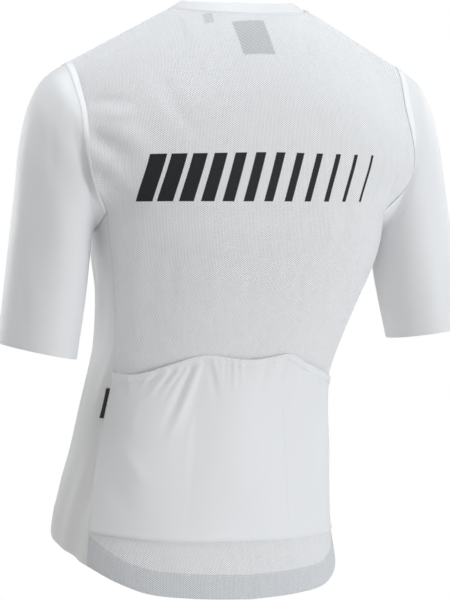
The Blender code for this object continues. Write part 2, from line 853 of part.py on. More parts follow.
def zip_slider():
    centre, out, rise = slider_placement()
    front_low = CHAIN_FACE + SEAM_GAP
    front_high = front_low + SLIDER_PLATE
    back_high = CHAIN_FACE - CHAIN_DEPTH - SEAM_GAP - TAPE_CLOTH
    back_low = back_high - SLIDER_PLATE
    half, length = SLIDER_HALF_WIDTH, SLIDER_LENGTH / 2
    bridge = BRIDGE_WIDTH / 2
    reach = front_high + BRIDGE_BAR + 2 * PULL_PIN_HEIGHT - 0.0004
    overlap = 0.0002
    post_in, post_out = BRIDGE_REACH - 0.0012, BRIDGE_REACH
    return joined(
        "zip_slider",
        [
            fill_box((-half, front_low, -length), (half, front_high, length)),
            fill_box((-half, back_low, -length), (half, back_high, length)),
            fill_box(
                (-WEDGE_HALF_WIDTH, back_low + overlap, length - WEDGE_LENGTH),
                (WEDGE_HALF_WIDTH, front_high - overlap, length - overlap),
            ),
            fill_box((-bridge, front_high - overlap, post_in), (bridge, reach, post_out)),
            fill_box((-bridge, front_high - overlap, -post_out), (bridge, reach, -post_in)),
            fill_box(
                (-bridge, reach - BRIDGE_BAR, -post_out + overlap),
                (bridge, reach, post_out - overlap),
            ),
        ],
        "zip_metal",
        frame_at(centre, out, rise),
    )


def zip_pull():
    """The pull tab, hung on the slider's bridge; its origin is the middle of its pin, the hinge's axis."""
    centre, out, rise = slider_placement()
    face = CHAIN_FACE + SEAM_GAP + SLIDER_PLATE
    pin = centre + out * (face + PULL_PIN_HEIGHT)
    down = (-rise * math.cos(PULL_LEAN) - out * math.sin(PULL_LEAN)).normalized()
    across = out.cross(rise)
    facing = down.cross(across)
    half, arm, thick = PULL_HALF_WIDTH, PULL_ARM, PULL_THICKNESS / 2
    top = PULL_PIN_RADIUS * 1.6

    def fill_pin(bm):
        made = bmesh.ops.create_cone(
            bm,
            cap_ends=True,
            segments=12,
            radius1=PULL_PIN_RADIUS,
            radius2=PULL_PIN_RADIUS,
            depth=2 * half - 0.0006,
        )["verts"]
        bmesh.ops.rotate(bm, verts=made, matrix=Matrix.Rotation(math.pi / 2, 3, "Y"))

    return joined(
        "zip_pull",
        [
            fill_box((-half, -thick, -PULL_LENGTH), (half, thick, -PULL_EYE)),
            fill_box((-half, -thick, -PULL_EYE - 0.0004), (-half + arm, thick, top)),
            fill_box((half - arm, -thick, -PULL_EYE - 0.0004), (half, thick, top)),
            fill_pin,
        ],
        "zip_metal",
        frame_at(pin, -facing, -down),
    )


def zip_stop():
    """The box that closes the foot of the zip."""
    left, right = (beside_placket(side, 0, CHAIN_DEPTH / 2 - CHAIN_FACE) for side in (1, -1))
    foot, above = (left[0] + right[0]) / 2, (left[1] + right[1]) / 2
    up = (above - foot).normalized()
    out = (section_normal(180, foot.z) - up * section_normal(180, foot.z).dot(up)).normalized()
    half = STOP_SIZE / 2
    joined(
        "zip_stop",
        [fill_box((-half.x, -half.y, -STOP_SIZE.z), (half.x, half.y, 0))],
        "zip_white",
        frame_at(foot - up * 2 * LAID_GAP, out, up),
    )


# The whole jersey ---------------------------------------------------------------------------------


def clear_scene():
    for obj in list(bpy.data.objects):
        bpy.data.objects.remove(obj)
    for name in ("cycling_jersey", "joining"):
        collection = bpy.data.collections.new(name)
        bpy.context.scene.collection.children.link(collection)


def make_materials():
    for name, (colour, roughness, metallic) in MATERIALS.items():
        material = bpy.data.materials.new(name)
        material.use_nodes = True
        shader = material.node_tree.nodes["Principled BSDF"]
        shader.inputs["Base Color"].default_value = (*colour, 1)
        shader.inputs["Roughness"].default_value = roughness
        shader.inputs["Metallic"].default_value = metallic


def main():
    clear_scene()
    make_materials()
    body_pieces()
    armhole_tapes()
    pockets()
    hem_facing()
    neck_labels()
    loop_label()
    zip_tapes()
    zip_chain()
    zip_stop()
    zip_slider()
    zip_pull()


main()
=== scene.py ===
"""A white cycling jersey in its worn form, dressed in knitted cloth, bonded tapes, stitching and a coil zip.

Every cloth piece is a grid that is laid on the jersey's form, given its listed creases and thickened
inwards. Sewing, zip and labels are laid on those grids, so all of them share one set of surfaces.

Units are metres. +X is the wearer's left, +Y the wearer's back and +Z up.
"""

from __future__ import annotations

import logging
import math
from dataclasses import dataclass, field, fields
from enum import Enum
from typing import ClassVar, Iterable, Sequence

import bmesh
import bpy
import numpy as np
from mathutils import Matrix, Vector


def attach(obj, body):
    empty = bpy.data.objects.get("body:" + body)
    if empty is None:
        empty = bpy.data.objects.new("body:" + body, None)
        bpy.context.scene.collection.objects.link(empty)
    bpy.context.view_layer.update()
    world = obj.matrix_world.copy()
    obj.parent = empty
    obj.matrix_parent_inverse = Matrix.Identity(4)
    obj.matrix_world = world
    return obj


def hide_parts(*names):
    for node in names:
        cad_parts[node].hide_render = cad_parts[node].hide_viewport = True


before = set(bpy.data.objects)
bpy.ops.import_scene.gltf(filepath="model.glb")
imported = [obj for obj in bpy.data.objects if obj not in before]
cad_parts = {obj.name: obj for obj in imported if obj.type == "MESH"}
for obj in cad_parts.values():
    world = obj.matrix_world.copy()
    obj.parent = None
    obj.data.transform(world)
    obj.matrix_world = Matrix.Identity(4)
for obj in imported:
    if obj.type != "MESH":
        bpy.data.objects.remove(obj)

LOG = logging.getLogger("cycling_jersey")
Array = np.ndarray
Number = Array | float
Bmesh = bmesh.types.BMesh
Material = bpy.types.Material
Object = bpy.types.Object
NodeTree = bpy.types.NodeTree
Socket = bpy.types.NodeSocket
MM = 0.001
MIRROR = np.array([-1.0, 1.0, 1.0])
FAR = 1.0  # farther than any place on a cloth is from another


# Curves and tables


def mix(start: Number, end: Number, share: Number) -> Number:
    """Returns the value a share of the way from start to end."""
    return start + (end - start) * share


def eased(share: Number) -> Number:
    """Returns a share from 0 to 1 that leaves and arrives gently."""
    return share * share * (3 - 2 * share)


def unit(vectors: Array) -> Array:
    """Returns vectors scaled to length one."""
    return vectors / np.maximum(np.linalg.norm(vectors, axis=-1, keepdims=True), 1e-12)


def walked(line: Array) -> Array:
    """Returns how far along a line of points each one lies."""
    return np.concatenate([[0], np.cumsum(np.linalg.norm(np.diff(line, axis=0), axis=1))])


def picked(at: Number, gone: Array, values: Array) -> Array:
    """Returns the points or ways at places along a line whose own ones are known at gone."""
    return np.stack([np.interp(at, gone, values[:, k]) for k in range(3)], axis=-1)


def hermite(start: Number, start_slope: Number, end: Number, end_slope: Number, share: Number) -> Number:
    """Places on the cubic from start to end.

    Args:
        start: Value at share 0.
        start_slope: Slope there, for the whole span.
        end: Value at share 1.
        end_slope: Slope there, for the whole span.
        share: How far along, from 0 to 1.

    Returns:
        The value at each share.
    """
    square, cube = share * share, share * share * share
    return (
        start * (2 * cube - 3 * square + 1)
        + start_slope * (cube - 2 * square + share)
        + end * (3 * square - 2 * cube)
        + end_slope * (cube - square)
    )


def through(
    knots: Array, steps: Sequence[int], first: Array | None = None, last: Array | None = None
) -> Array:
    """Draws smooth curves through knots, many curves at once.

    Args:
        knots: Array of (knot, curve, 3).
        steps: How many steps each span has.
        first: Unit directions at the first knots, or None to leave along the first chord.
        last: Unit directions at the last knots, or None to arrive along the last chord.

    Returns:
        Array of (curve, point, 3).
    """
    chords = np.diff(knots, axis=0)
    spans = np.linalg.norm(chords, axis=2, keepdims=True)
    ways = chords / spans
    inner = (ways[:-1] * spans[1:] + ways[1:] * spans[:-1]) / (spans[:-1] + spans[1:])
    start = ways[:1] if first is None else first[None]
    end = ways[-1:] if last is None else last[None]
    slopes = np.concatenate([start, inner, end])
    made = [knots[:1]]
    for i, count in enumerate(steps):
        share = (np.arange(1, count + 1) / count)[:, None, None]
        made.append(hermite(knots[i], slopes[i] * spans[i], knots[i + 1], slopes[i + 1] * spans[i], share))
    return np.concatenate(made).transpose(1, 0, 2)


class Chart:
    """A table of sizes that is read anywhere between its rows, on smooth curves through them."""

    def __init__(self, rows: Sequence[object]) -> None:
        """Keeps the values of dataclass rows by name, ordered by their first field."""
        names = [entry.name for entry in fields(rows[0])]
        self.values = {name: np.array([getattr(row, name) for row in rows], float) for name in names}
        self.keys = self.values[names[0]]

    def read(self, name: str, at: Array) -> Array:
        """Reads one column.

        Args:
            name: The column's name.
            at: Places on the key column.

        Returns:
            The column's value at each place.
        """
        keys, values, last = self.keys, self.values[name], len(self.keys) - 1
        i = np.clip(np.searchsorted(keys, at), 1, last) - 1
        low, high = np.maximum(np.arange(last + 1) - 1, 0), np.minimum(np.arange(last + 1) + 1, last)
        slopes = (values[high] - values[low]) / (keys[high] - keys[low])
        span = keys[i + 1] - keys[i]
        share = (at - keys[i]) / span
        return hermite(values[i], slopes[i] * span, values[i + 1], slopes[i + 1] * span, share)


# The jersey's form


class Side(Enum):
    """A side of the wearer, by the sign of its X."""

    LEFT = 1
    RIGHT = -1

    @property
    def word(self) -> str:
        """The side's name in a piece's name."""
        return self.name.lower()


@dataclass(frozen=True)
class TorsoSection:
    """A horizontal section: its half sizes, where the pose carries it, and how square it is.

    seam is the angle in degrees from the centre back at which the back is sewn to the front.
    """

    height: float
    half_width: float
    back: float
    front: float
    left: float
    forward: float
    turn: float
    square: float
    seam: float


@dataclass(frozen=True)
class HeightAt:
    """The height of an edge at one place across the jersey."""

    across: float
    height: float


@dataclass(frozen=True)
class YokeGuide:
    """A row of the yoke, from the centre line to the armhole."""

    centre_y: float
    centre_z: float
    edge_x: float
    edge_y: float
    edge_z: float
    bend: float
    spread: float


@dataclass(frozen=True)
class SleeveRing:
    """A ring round a sleeve: its highest and lowest points, and half its reach from front to back."""

    top_out: float
    top_z: float
    under_out: float
    under_z: float
    half_depth: float


@dataclass(frozen=True)
class JerseyForm:
    """The surface that the outer faces of all the cloth pieces lie on.

    A pattern angle runs from 0 at the centre back through 72 at the back seam to 180 at the zip.
    """

    sections: tuple[TorsoSection, ...] = (
        TorsoSection(-0.710, 0.178, 0.126, 0.112, 0.033, 0.055, 10.0, 2.15, 71.5),
        TorsoSection(-0.650, 0.178, 0.126, 0.114, 0.033, 0.055, 10.0, 2.15, 71.0),
        TorsoSection(-0.599, 0.173, 0.120, 0.114, 0.036, 0.054, 9.5, 2.15, 68.8),
        TorsoSection(-0.547, 0.165, 0.114, 0.112, 0.033, 0.049, 8.5, 2.15, 70.0),
        TorsoSection(-0.512, 0.159, 0.108, 0.110, 0.029, 0.045, 7.5, 2.15, 71.2),
        TorsoSection(-0.460, 0.152, 0.098, 0.107, 0.025, 0.039, 6.5, 2.15, 71.3),
        TorsoSection(-0.425, 0.148, 0.094, 0.106, 0.021, 0.033, 5.5, 2.20, 71.5),
        TorsoSection(-0.390, 0.149, 0.095, 0.108, 0.014, 0.025, 4.5, 2.25, 75.0),
        TorsoSection(-0.338, 0.157, 0.100, 0.113, 0.006, 0.013, 2.5, 2.35, 77.3),
        TorsoSection(-0.300, 0.165, 0.104, 0.116, 0.001, 0.005, 1.0, 2.45, 78.0),
        TorsoSection(-0.268, 0.171, 0.107, 0.118, 0.000, 0.000, 0.0, 2.50, 78.5),
        TorsoSection(-0.236, 0.174, 0.109, 0.119, 0.000, 0.000, 0.0, 2.60, 78.3),
    )
    hem: tuple[HeightAt, ...] = (
        HeightAt(0, -0.680), HeightAt(20, -0.677), HeightAt(40, -0.671), HeightAt(55, -0.658),
        HeightAt(72, -0.640), HeightAt(100, -0.616), HeightAt(140, -0.583), HeightAt(180, -0.570),
    )
    back_guides: tuple[YokeGuide, ...] = (
        YokeGuide(0.109, -0.168, 0.196, 0.058, -0.198, 2.6, 0.80),
        YokeGuide(0.098, -0.088, 0.199, 0.036, -0.112, 2.2, 0.90),
    )
    front_guides: tuple[YokeGuide, ...] = (
        YokeGuide(-0.119, -0.178, 0.177, -0.056, -0.188, 2.4, 0.80),
        YokeGuide(-0.102, -0.128, 0.190, -0.040, -0.112, 2.2, 0.90),
    )
    left_sleeve: tuple[SleeveRing, ...] = (
        SleeveRing(0.2260, -0.078, 0.1795, -0.261, 0.060),
        SleeveRing(0.2450, -0.105, 0.1805, -0.269, 0.060),
        SleeveRing(0.2575, -0.150, 0.1815, -0.285, 0.058),
        SleeveRing(0.2655, -0.216, 0.1835, -0.310, 0.056),
        SleeveRing(0.2760, -0.303, 0.1880, -0.348, 0.053),
        SleeveRing(0.2860, -0.386, 0.1970, -0.403, 0.051),
    )
    right_sleeve: tuple[SleeveRing, ...] = (
        SleeveRing(0.2255, -0.078, 0.1795, -0.261, 0.060),
        SleeveRing(0.2425, -0.105, 0.1805, -0.269, 0.060),
        SleeveRing(0.2550, -0.150, 0.1815, -0.285, 0.058),
        SleeveRing(0.2660, -0.216, 0.1840, -0.310, 0.056),
        SleeveRing(0.2810, -0.303, 0.1900, -0.343, 0.053),
        SleeveRing(0.2960, -0.369, 0.1990, -0.384, 0.051),
    )
    left_cuff_tilt: float = 0.085
    right_cuff_tilt: float = 0.0
    armpit: float = -0.236
    armhole_dip: float = 0.021
    back_seam: float = 72.0
    front_fold: float = 112.0
    neck_half_width: float = 0.082
    neck_back: float = 0.066
    neck_front: float = 0.076
    neck_y: float = -0.002
    back_neck_drop: float = 0.009
    back_neck_fall: float = 1.2
    front_neck_drop: float = 0.074
    front_neck_fall: float = 1.7
    neck_share: float = 0.42
    collar_lean: float = 32.0
    collar_lean_back: float = 20.0
    collar_lean_front: float = 26.0
    shoulder_end: tuple[float, float, float] = (0.203, -0.010, -0.064)

    def torso(self, pattern: Array, height: Array) -> Array:
        """Places on the body below the armholes.

        Args:
            pattern: Pattern angles in degrees, + to the wearer's left.
            height: Heights, of the same shape.

        Returns:
            The points, with one more axis of 3.
        """
        chart = Chart(self.sections)
        read = {name: chart.read(name, height) for name in chart.values}
        around = np.abs(pattern)
        on_back = around / self.back_seam * read["seam"]
        past = (around - self.back_seam) / (180 - self.back_seam)
        on_front = read["seam"] + past * (180 - read["seam"])
        angle = np.radians(np.copysign(np.where(around <= self.back_seam, on_back, on_front), pattern))
        depth = np.where(np.cos(angle) > 0, read["back"], read["front"])
        power = 2 / read["square"]
        x = read["half_width"] * np.copysign(np.abs(np.sin(angle)) ** power, np.sin(angle))
        y = depth * np.copysign(np.abs(np.cos(angle)) ** power, np.cos(angle))
        turn = np.radians(read["turn"])
        left = read["left"] + x * np.cos(turn) - y * np.sin(turn)
        back = x * np.sin(turn) + y * np.cos(turn) - read["forward"]
        return np.stack([left, back, height + 0 * pattern], axis=-1)

    def torso_way_out(self, pattern: Array, height: Array) -> Array:
        """The way out of the cloth at places on the body."""
        across = self.torso(pattern - 0.5, height) - self.torso(pattern + 0.5, height)
        up = self.torso(pattern, height + 4 * MM) - self.torso(pattern, height - 4 * MM)
        return unit(np.cross(across, up))

    def hem_height(self, pattern: Array) -> Array:
        """The height of the hem at pattern angles."""
        return Chart(self.hem).read("height", np.abs(pattern))

    def armhole_foot(self, pattern: Array) -> Array:
        """The top of the body's rows: level, but dipping under the arm."""
        share = (np.abs(pattern) - self.back_seam) / (self.front_fold - self.back_seam)
        return self.armpit - self.armhole_dip * np.sin(math.pi * np.clip(share, 0, 1))

    def body_columns(self, pattern: Array, rows: int) -> Array:
        """Columns up the body from the hem to the armhole level, as (column, row, 3)."""
        rise = np.linspace(0, 1, rows + 1)[None]
        low, high = self.hem_height(pattern)[:, None], self.armhole_foot(pattern)[:, None]
        return self.torso(pattern[:, None] + 0 * rise, mix(low, high, rise))

    def yoke_top(self, share: Array, front: bool) -> Array:
        """The upper end of yoke columns: on the neck seam, or past neck_share on the shoulder seam.

        Args:
            share: How far each column lies from the centre line to the armhole.
            front: Whether it is the front's yoke.

        Returns:
            The points, as (column, 3).
        """
        turn = np.radians(90 * np.minimum(share / self.neck_share, 1))
        if front:
            reach, drop, fall = -self.neck_front, self.front_neck_drop, self.front_neck_fall
        else:
            reach, drop, fall = self.neck_back, self.back_neck_drop, self.back_neck_fall
        x, y = self.neck_half_width * np.sin(turn), self.neck_y + reach * np.cos(turn)
        neck = np.stack([x, y, -drop * np.abs(np.cos(turn)) ** fall], axis=-1)
        start = np.array([self.neck_half_width, self.neck_y, 0.0])
        along = np.maximum((share - self.neck_share) / (1 - self.neck_share), 0)[:, None]
        shoulder = mix(start, np.array(self.shoulder_end), along)
        return np.where((share <= self.neck_share)[:, None], neck, shoulder)

    def pattern(self, share: Array, front: bool) -> Array:
        """The pattern angles of columns, by how far each lies from the centre line to the armhole."""
        return 180 - (180 - self.front_fold) * share if front else self.back_seam * share

    def yoke_columns(self, share: Array, front: bool, steps: int) -> Array:
        """Columns of the left half of the yoke, from the armhole level to their tops.

        Args:
            share: How far each column lies from the centre line to the armhole.
            front: Whether it is the front's yoke.
            steps: Steps in each of the three spans.

        Returns:
            The points, as (column, row, 3).
        """
        pattern = self.pattern(share, front)
        foot = self.torso(pattern, self.armpit + 0 * pattern)
        rows = [foot]
        for guide in self.front_guides if front else self.back_guides:
            x = guide.edge_x * share**guide.spread
            y = mix(guide.centre_y, guide.edge_y, share**guide.bend)
            rows.append(np.stack([x, y, mix(guide.centre_z, guide.edge_z, share**2)], axis=-1))
        rows.append(self.yoke_top(share, front))
        below = unit(foot - self.torso(pattern, self.armpit - 0.02 + 0 * pattern))
        way = 1 if front else -1
        over_shoulder, up_neck = np.array([0, way, 0.15 * way]), np.array([0, 0.55 * way, 0.83])
        toward_neck = (1 - np.minimum(share / self.neck_share, 1) ** 2)[:, None]
        top_slope = unit(mix(over_shoulder, up_neck, toward_neck))
        first_slope = unit(mix(below, unit(rows[1] - rows[0]), (share**6)[:, None]))
        return through(np.stack(rows), [steps] * 3, first_slope, top_slope)

    def panel_columns(self, share: Array, front: bool, side: Side, rows: int, steps: int) -> Array:
        """Columns of one half of the back or the front, from the hem to the neck or the shoulder.

        Args:
            share: How far each column lies from the centre line to the armhole.
            front: Whether it is the front.
            side: Which half it is.
            rows: Steps from the hem to the armhole.
            steps: Steps in each span of the yoke.

        Returns:
            The points, as (column, row, 3).
        """
        body = self.body_columns(self.pattern(share, front) * side.value, rows)
        yoke = self.yoke_columns(share, front, steps) * (MIRROR if side is Side.RIGHT else 1)
        return np.concatenate([body[:, :-1], yoke], axis=1)

    def collar_rise(self, points: Array) -> Array:
        """The way the collar stands on the neck seam: flat on the shoulders, steeper behind and in front."""
        x, y = points[..., 0], points[..., 1] - self.neck_y
        inward = unit(np.stack([-x / self.neck_half_width**2, -y / self.neck_back**2, 0 * x], axis=-1))
        more = np.where(y > 0, self.collar_lean_back, self.collar_lean_front)
        lean = np.radians(self.collar_lean + more * inward[..., 1] ** 2)[..., None]
        return inward * np.cos(lean) + np.array([0, 0, 1]) * np.sin(lean)


# Patches of cloth


@dataclass(frozen=True)
class Crease:
    """A soft ridge or trough in the cloth, with sizes in millimetres.

    Attributes:
        places: (across, along) places that it runs through, on the cloth's own measures.
        height: How high it stands at its strongest, below 0 for a trough.
        width: Half its width, to where it has fallen to about a third.
        start, end: Its strength at its first and last place, from 0 to 1.
        peak: How far along it is strongest, from 0 to 1.
    """

    places: tuple[tuple[float, float], ...]
    height: float
    width: float
    start: float = 0.0
    peak: float = 0.5
    end: float = 0.0

    def strength(self, share: Array) -> Array:
        """How strong the crease is a share of the way along."""
        rising = np.sin(math.pi / 2 * np.clip(share / max(self.peak, 1e-6), 0, 1)) ** 2
        falling = np.cos(math.pi / 2 * np.clip((share - self.peak) / max(1 - self.peak, 1e-6), 0, 1)) ** 2
        before = self.start + (1 - self.start) * rising
        after = self.end + (1 - self.end) * falling
        return np.where(share < self.peak, before, after)

    def relief(self, across: Array, along: Array) -> Array:
        """How far the crease lifts the cloth.

        Args:
            across: Places across the cloth, in metres.
            along: Places along it, in metres.

        Returns:
            Its height at each place, in metres.
        """
        knots = np.array([[x, y, 0.0] for x, y in self.places])[:, None] * MM
        path = through(knots, [14] * (len(self.places) - 1))[0]
        strength = self.strength(np.linspace(0, 1, len(path)))
        reach = 3 * self.width * MM
        low, high = path[:, :2].min(axis=0) - reach, path[:, :2].max(axis=0) + reach
        near = (across > low[0]) & (across < high[0]) & (along > low[1]) & (along < high[1])
        lift = np.zeros(across.shape)
        x, y = across[near][:, None], along[near][:, None]
        gap = (x - path[:, 0]) ** 2 + (y - path[:, 1]) ** 2
        lift[near] = (strength * np.exp(-gap / (self.width * MM) ** 2)).max(axis=1)
        return lift * self.height * MM


def creased(patch: Patch, creases: Iterable[Crease]) -> Array:
    """How far a patch's creases lift it, all together."""
    return sum((crease.relief(patch.across, patch.along) for crease in creases), 0 * patch.across)


WELT_HEIGHT, WELT_AT, WELT_WIDTH = 0.28 * MM, 2.6 * MM, 1.5 * MM


def beside_seams(distance: Array, free: float = 6.0) -> tuple[Array, Array]:
    """What seams do to the cloth beside them: they hold creases down, and their allowance lifts a low welt.

    Args:
        distance: How far each place is from the nearest seam, in metres.
        free: How far from the seam, in millimetres, creases are at their full height.

    Returns:
        The share of the creases' height that is left, and the welt's height in metres.
    """
    ridge = np.exp(-(((distance - WELT_AT) / WELT_WIDTH) ** 2)) * np.clip(distance / MM, 0, 1)
    return eased(np.clip(distance / (free * MM), 0, 1)), WELT_HEIGHT * ridge


THREAD_LIFT = 0.00004  # how far a line to sew along lies out of the cloth


@dataclass
class Patch:
    """A grid of points on the outer face of a cloth piece, with the cloth's own measures.

    Attributes:
        points: (column, row, 3). A column runs up, and column x row is the way out.
        across: (column, row), metres across the cloth.
        along: (column, row), metres up it.
        closed: Whether the last column meets the first one.
    """

    points: Array
    across: Array
    along: Array
    closed: bool = False

    @classmethod
    def laid(cls, points: Array, column: int = 0, row: int = 0, closed: bool = False) -> Patch:
        """Makes a patch and measures it.

        Args:
            points: (column, row, 3).
            column: The column from which across is measured.
            row: The row from which along is measured.
            closed: Whether it is a tube.

        Returns:
            The patch.
        """
        wide = np.linalg.norm(np.diff(points, axis=0), axis=2)
        tall = np.linalg.norm(np.diff(points, axis=1), axis=2)
        across = np.concatenate([np.zeros((1, points.shape[1])), np.cumsum(wide, axis=0)])
        along = np.concatenate([np.zeros((points.shape[0], 1)), np.cumsum(tall, axis=1)], axis=1)
        return cls(points, across - across[column], along - along[:, row : row + 1], closed)

    def ways_out(self) -> Array:
        """The way out of the cloth at every point."""
        points = self.points
        if self.closed:
            points = np.concatenate([points[-2:-1], points, points[1:2]])
        wide, tall = np.gradient(points, axis=0), np.gradient(points, axis=1)
        made = unit(np.cross(wide, tall))
        return made[1:-1] if self.closed else made

    def moved(self, lift: Array | float, ways: Array | None = None) -> Patch:
        """The patch with its points moved out of the cloth.

        Args:
            lift: How far each point moves.
            ways: The ways out, or None for the patch's own.

        Returns:
            The new patch, with the same measures.
        """
        ways = self.ways_out() if ways is None else ways
        lift = np.broadcast_to(lift, self.across.shape)[..., None]
        return Patch(self.points + ways * lift, self.across, self.along, self.closed)

    def turned(self) -> Patch:
        """The patch with its columns in the other order, which turns its face round."""
        return Patch(self.points[::-1], self.across[::-1], self.along[::-1], self.closed)

    def area(self) -> float:
        """The area of the cloth."""
        wide = np.diff(self.points, axis=0)[:, :-1]
        tall = np.diff(self.points, axis=1)[:-1]
        return float(np.linalg.norm(np.cross(wide, tall), axis=2).sum())

    def row_line(self, row: int) -> Line:
        """The line to sew along one row."""
        return Line(self.points[:, row], self.ways_out()[:, row]).lifted(THREAD_LIFT)

    def column_line(self, column: int) -> Line:
        """The line to sew up one column."""
        return Line(self.points[column], self.ways_out()[column]).lifted(THREAD_LIFT)

    def level_line(self, up: float, lift: float = THREAD_LIFT) -> Line:
        """The line that keeps a distance from the patch's lowest row.

        Args:
            up: The distance, or below 0 to measure down from the highest row.
            lift: How far it lies out of the cloth.

        Returns:
            The line, from the first column to the last.
        """
        start = 0 if up >= 0 else -1
        heights = self.along - self.along[:, start][:, None]
        points = [picked(up, *column) for column in zip(heights, self.points)]
        ways = [picked(up, *column) for column in zip(heights, self.ways_out())]
        return Line(np.array(points), unit(np.array(ways))).lifted(lift)

    def beside_line(self, aside: float) -> Line:
        """The line to sew at a distance from the first column, or from the last if aside is below 0."""
        swapped = Patch(self.points.transpose(1, 0, 2), self.along.T, self.across.T)
        line = swapped.level_line(aside, 0.0)
        return Line(line.points, -line.ways).lifted(THREAD_LIFT)


@dataclass
class Line:
    """A line on cloth: its points, and the way out of the cloth at each."""

    points: Array
    ways: Array

    def lifted(self, lift: float) -> Line:
        """The line moved out of the cloth."""
        return Line(self.points + self.ways * lift, self.ways)

    def cut(self, places: slice) -> Line:
        """A part of the line."""
        return Line(self.points[places], self.ways[places])

    def spaced(self, step: float) -> Line:
        """The line with its points a step apart, as evenly as they fit."""
        gone = walked(self.points)
        at = np.linspace(0, gone[-1], max(int(round(gone[-1] / step)), 1) + 1)
        return Line(picked(at, gone, self.points), unit(picked(at, gone, self.ways)))


# Finishes


CLOTH_MAP = "cloth"
FROM_HEM = "from_hem"

Colour = tuple[float, float, float]
Tint = Socket | Colour


def scaled(colour: Colour, share: float) -> Colour:
    """A colour made darker or lighter."""
    return tuple(part * share for part in colour)


def feed(socket: Socket, given: Value | Tint | float) -> None:
    """Gives a node's input its link, colour or number.

    Args:
        socket: The input.
        given: A value or an output to link it to, or what it is set to.
    """
    source = given.socket if isinstance(given, Value) else given
    if isinstance(source, Socket):
        socket.id_data.links.new(source, socket)
    else:
        socket.default_value = (*source, 1) if socket.type == "RGBA" else source


def add_node(
    tree: NodeTree, kind: str, given: dict[str | int, object] | None = None, **settings: str
) -> bpy.types.Node:
    """Adds a shader node to a tree.

    Args:
        tree: The tree.
        kind: The node's type.
        given: What its inputs are fed, by their names or numbers.
        settings: Its own settings.

    Returns:
        The node.
    """
    node = tree.nodes.new(f"ShaderNode{kind}")
    for name, setting in settings.items():
        setattr(node, name, setting)
    for key, value in (given or {}).items():
        feed(node.inputs[key], value)
    return node


class Value:
    """A number that varies over a surface: an output of a material's nodes, with arithmetic."""

    def __init__(self, socket: Socket) -> None:
        """Keeps the output."""
        self.socket = socket

    def math(self, operation: str, *others: Value | float) -> Value:
        """Puts a Math node on this value.

        Args:
            operation: The node's operation.
            others: Its other inputs, as values or numbers.

        Returns:
            The result.
        """
        given = dict(enumerate((self, *others)))
        return Value(add_node(self.socket.id_data, "Math", given, operation=operation).outputs[0])

    def __add__(self, other: Value | float) -> Value:
        """Adds."""
        return self.math("ADD", other)

    def __sub__(self, other: Value | float) -> Value:
        """Subtracts."""
        return self.math("SUBTRACT", other)

    def __mul__(self, other: Value | float) -> Value:
        """Multiplies."""
        return self.math("MULTIPLY", other)

    def __truediv__(self, other: Value | float) -> Value:
        """Divides."""
        return self.math("DIVIDE", other)

    def floor(self) -> Value:
        """The whole part."""
        return self.math("FLOOR")

    def part(self) -> Value:
        """What is left over the whole part."""
        return self.math("FRACT")

    def size(self) -> Value:
        """The value without its sign."""
        return self.math("ABSOLUTE")

    def wave(self) -> Value:
        """A wave from 0 to 1 and back for each whole step."""
        return (self * (2 * math.pi)).math("COSINE") * 0.5 + 0.5

    def step(self, low: Value | float, high: Value | float) -> Value:
        """0 below low, 1 above high, and smooth between them, also where low is over high."""
        given = {"Value": self, "From Min": low, "From Max": high}
        node = add_node(self.socket.id_data, "MapRange", given, interpolation_type="SMOOTHSTEP")
        return Value(node.outputs["Result"])


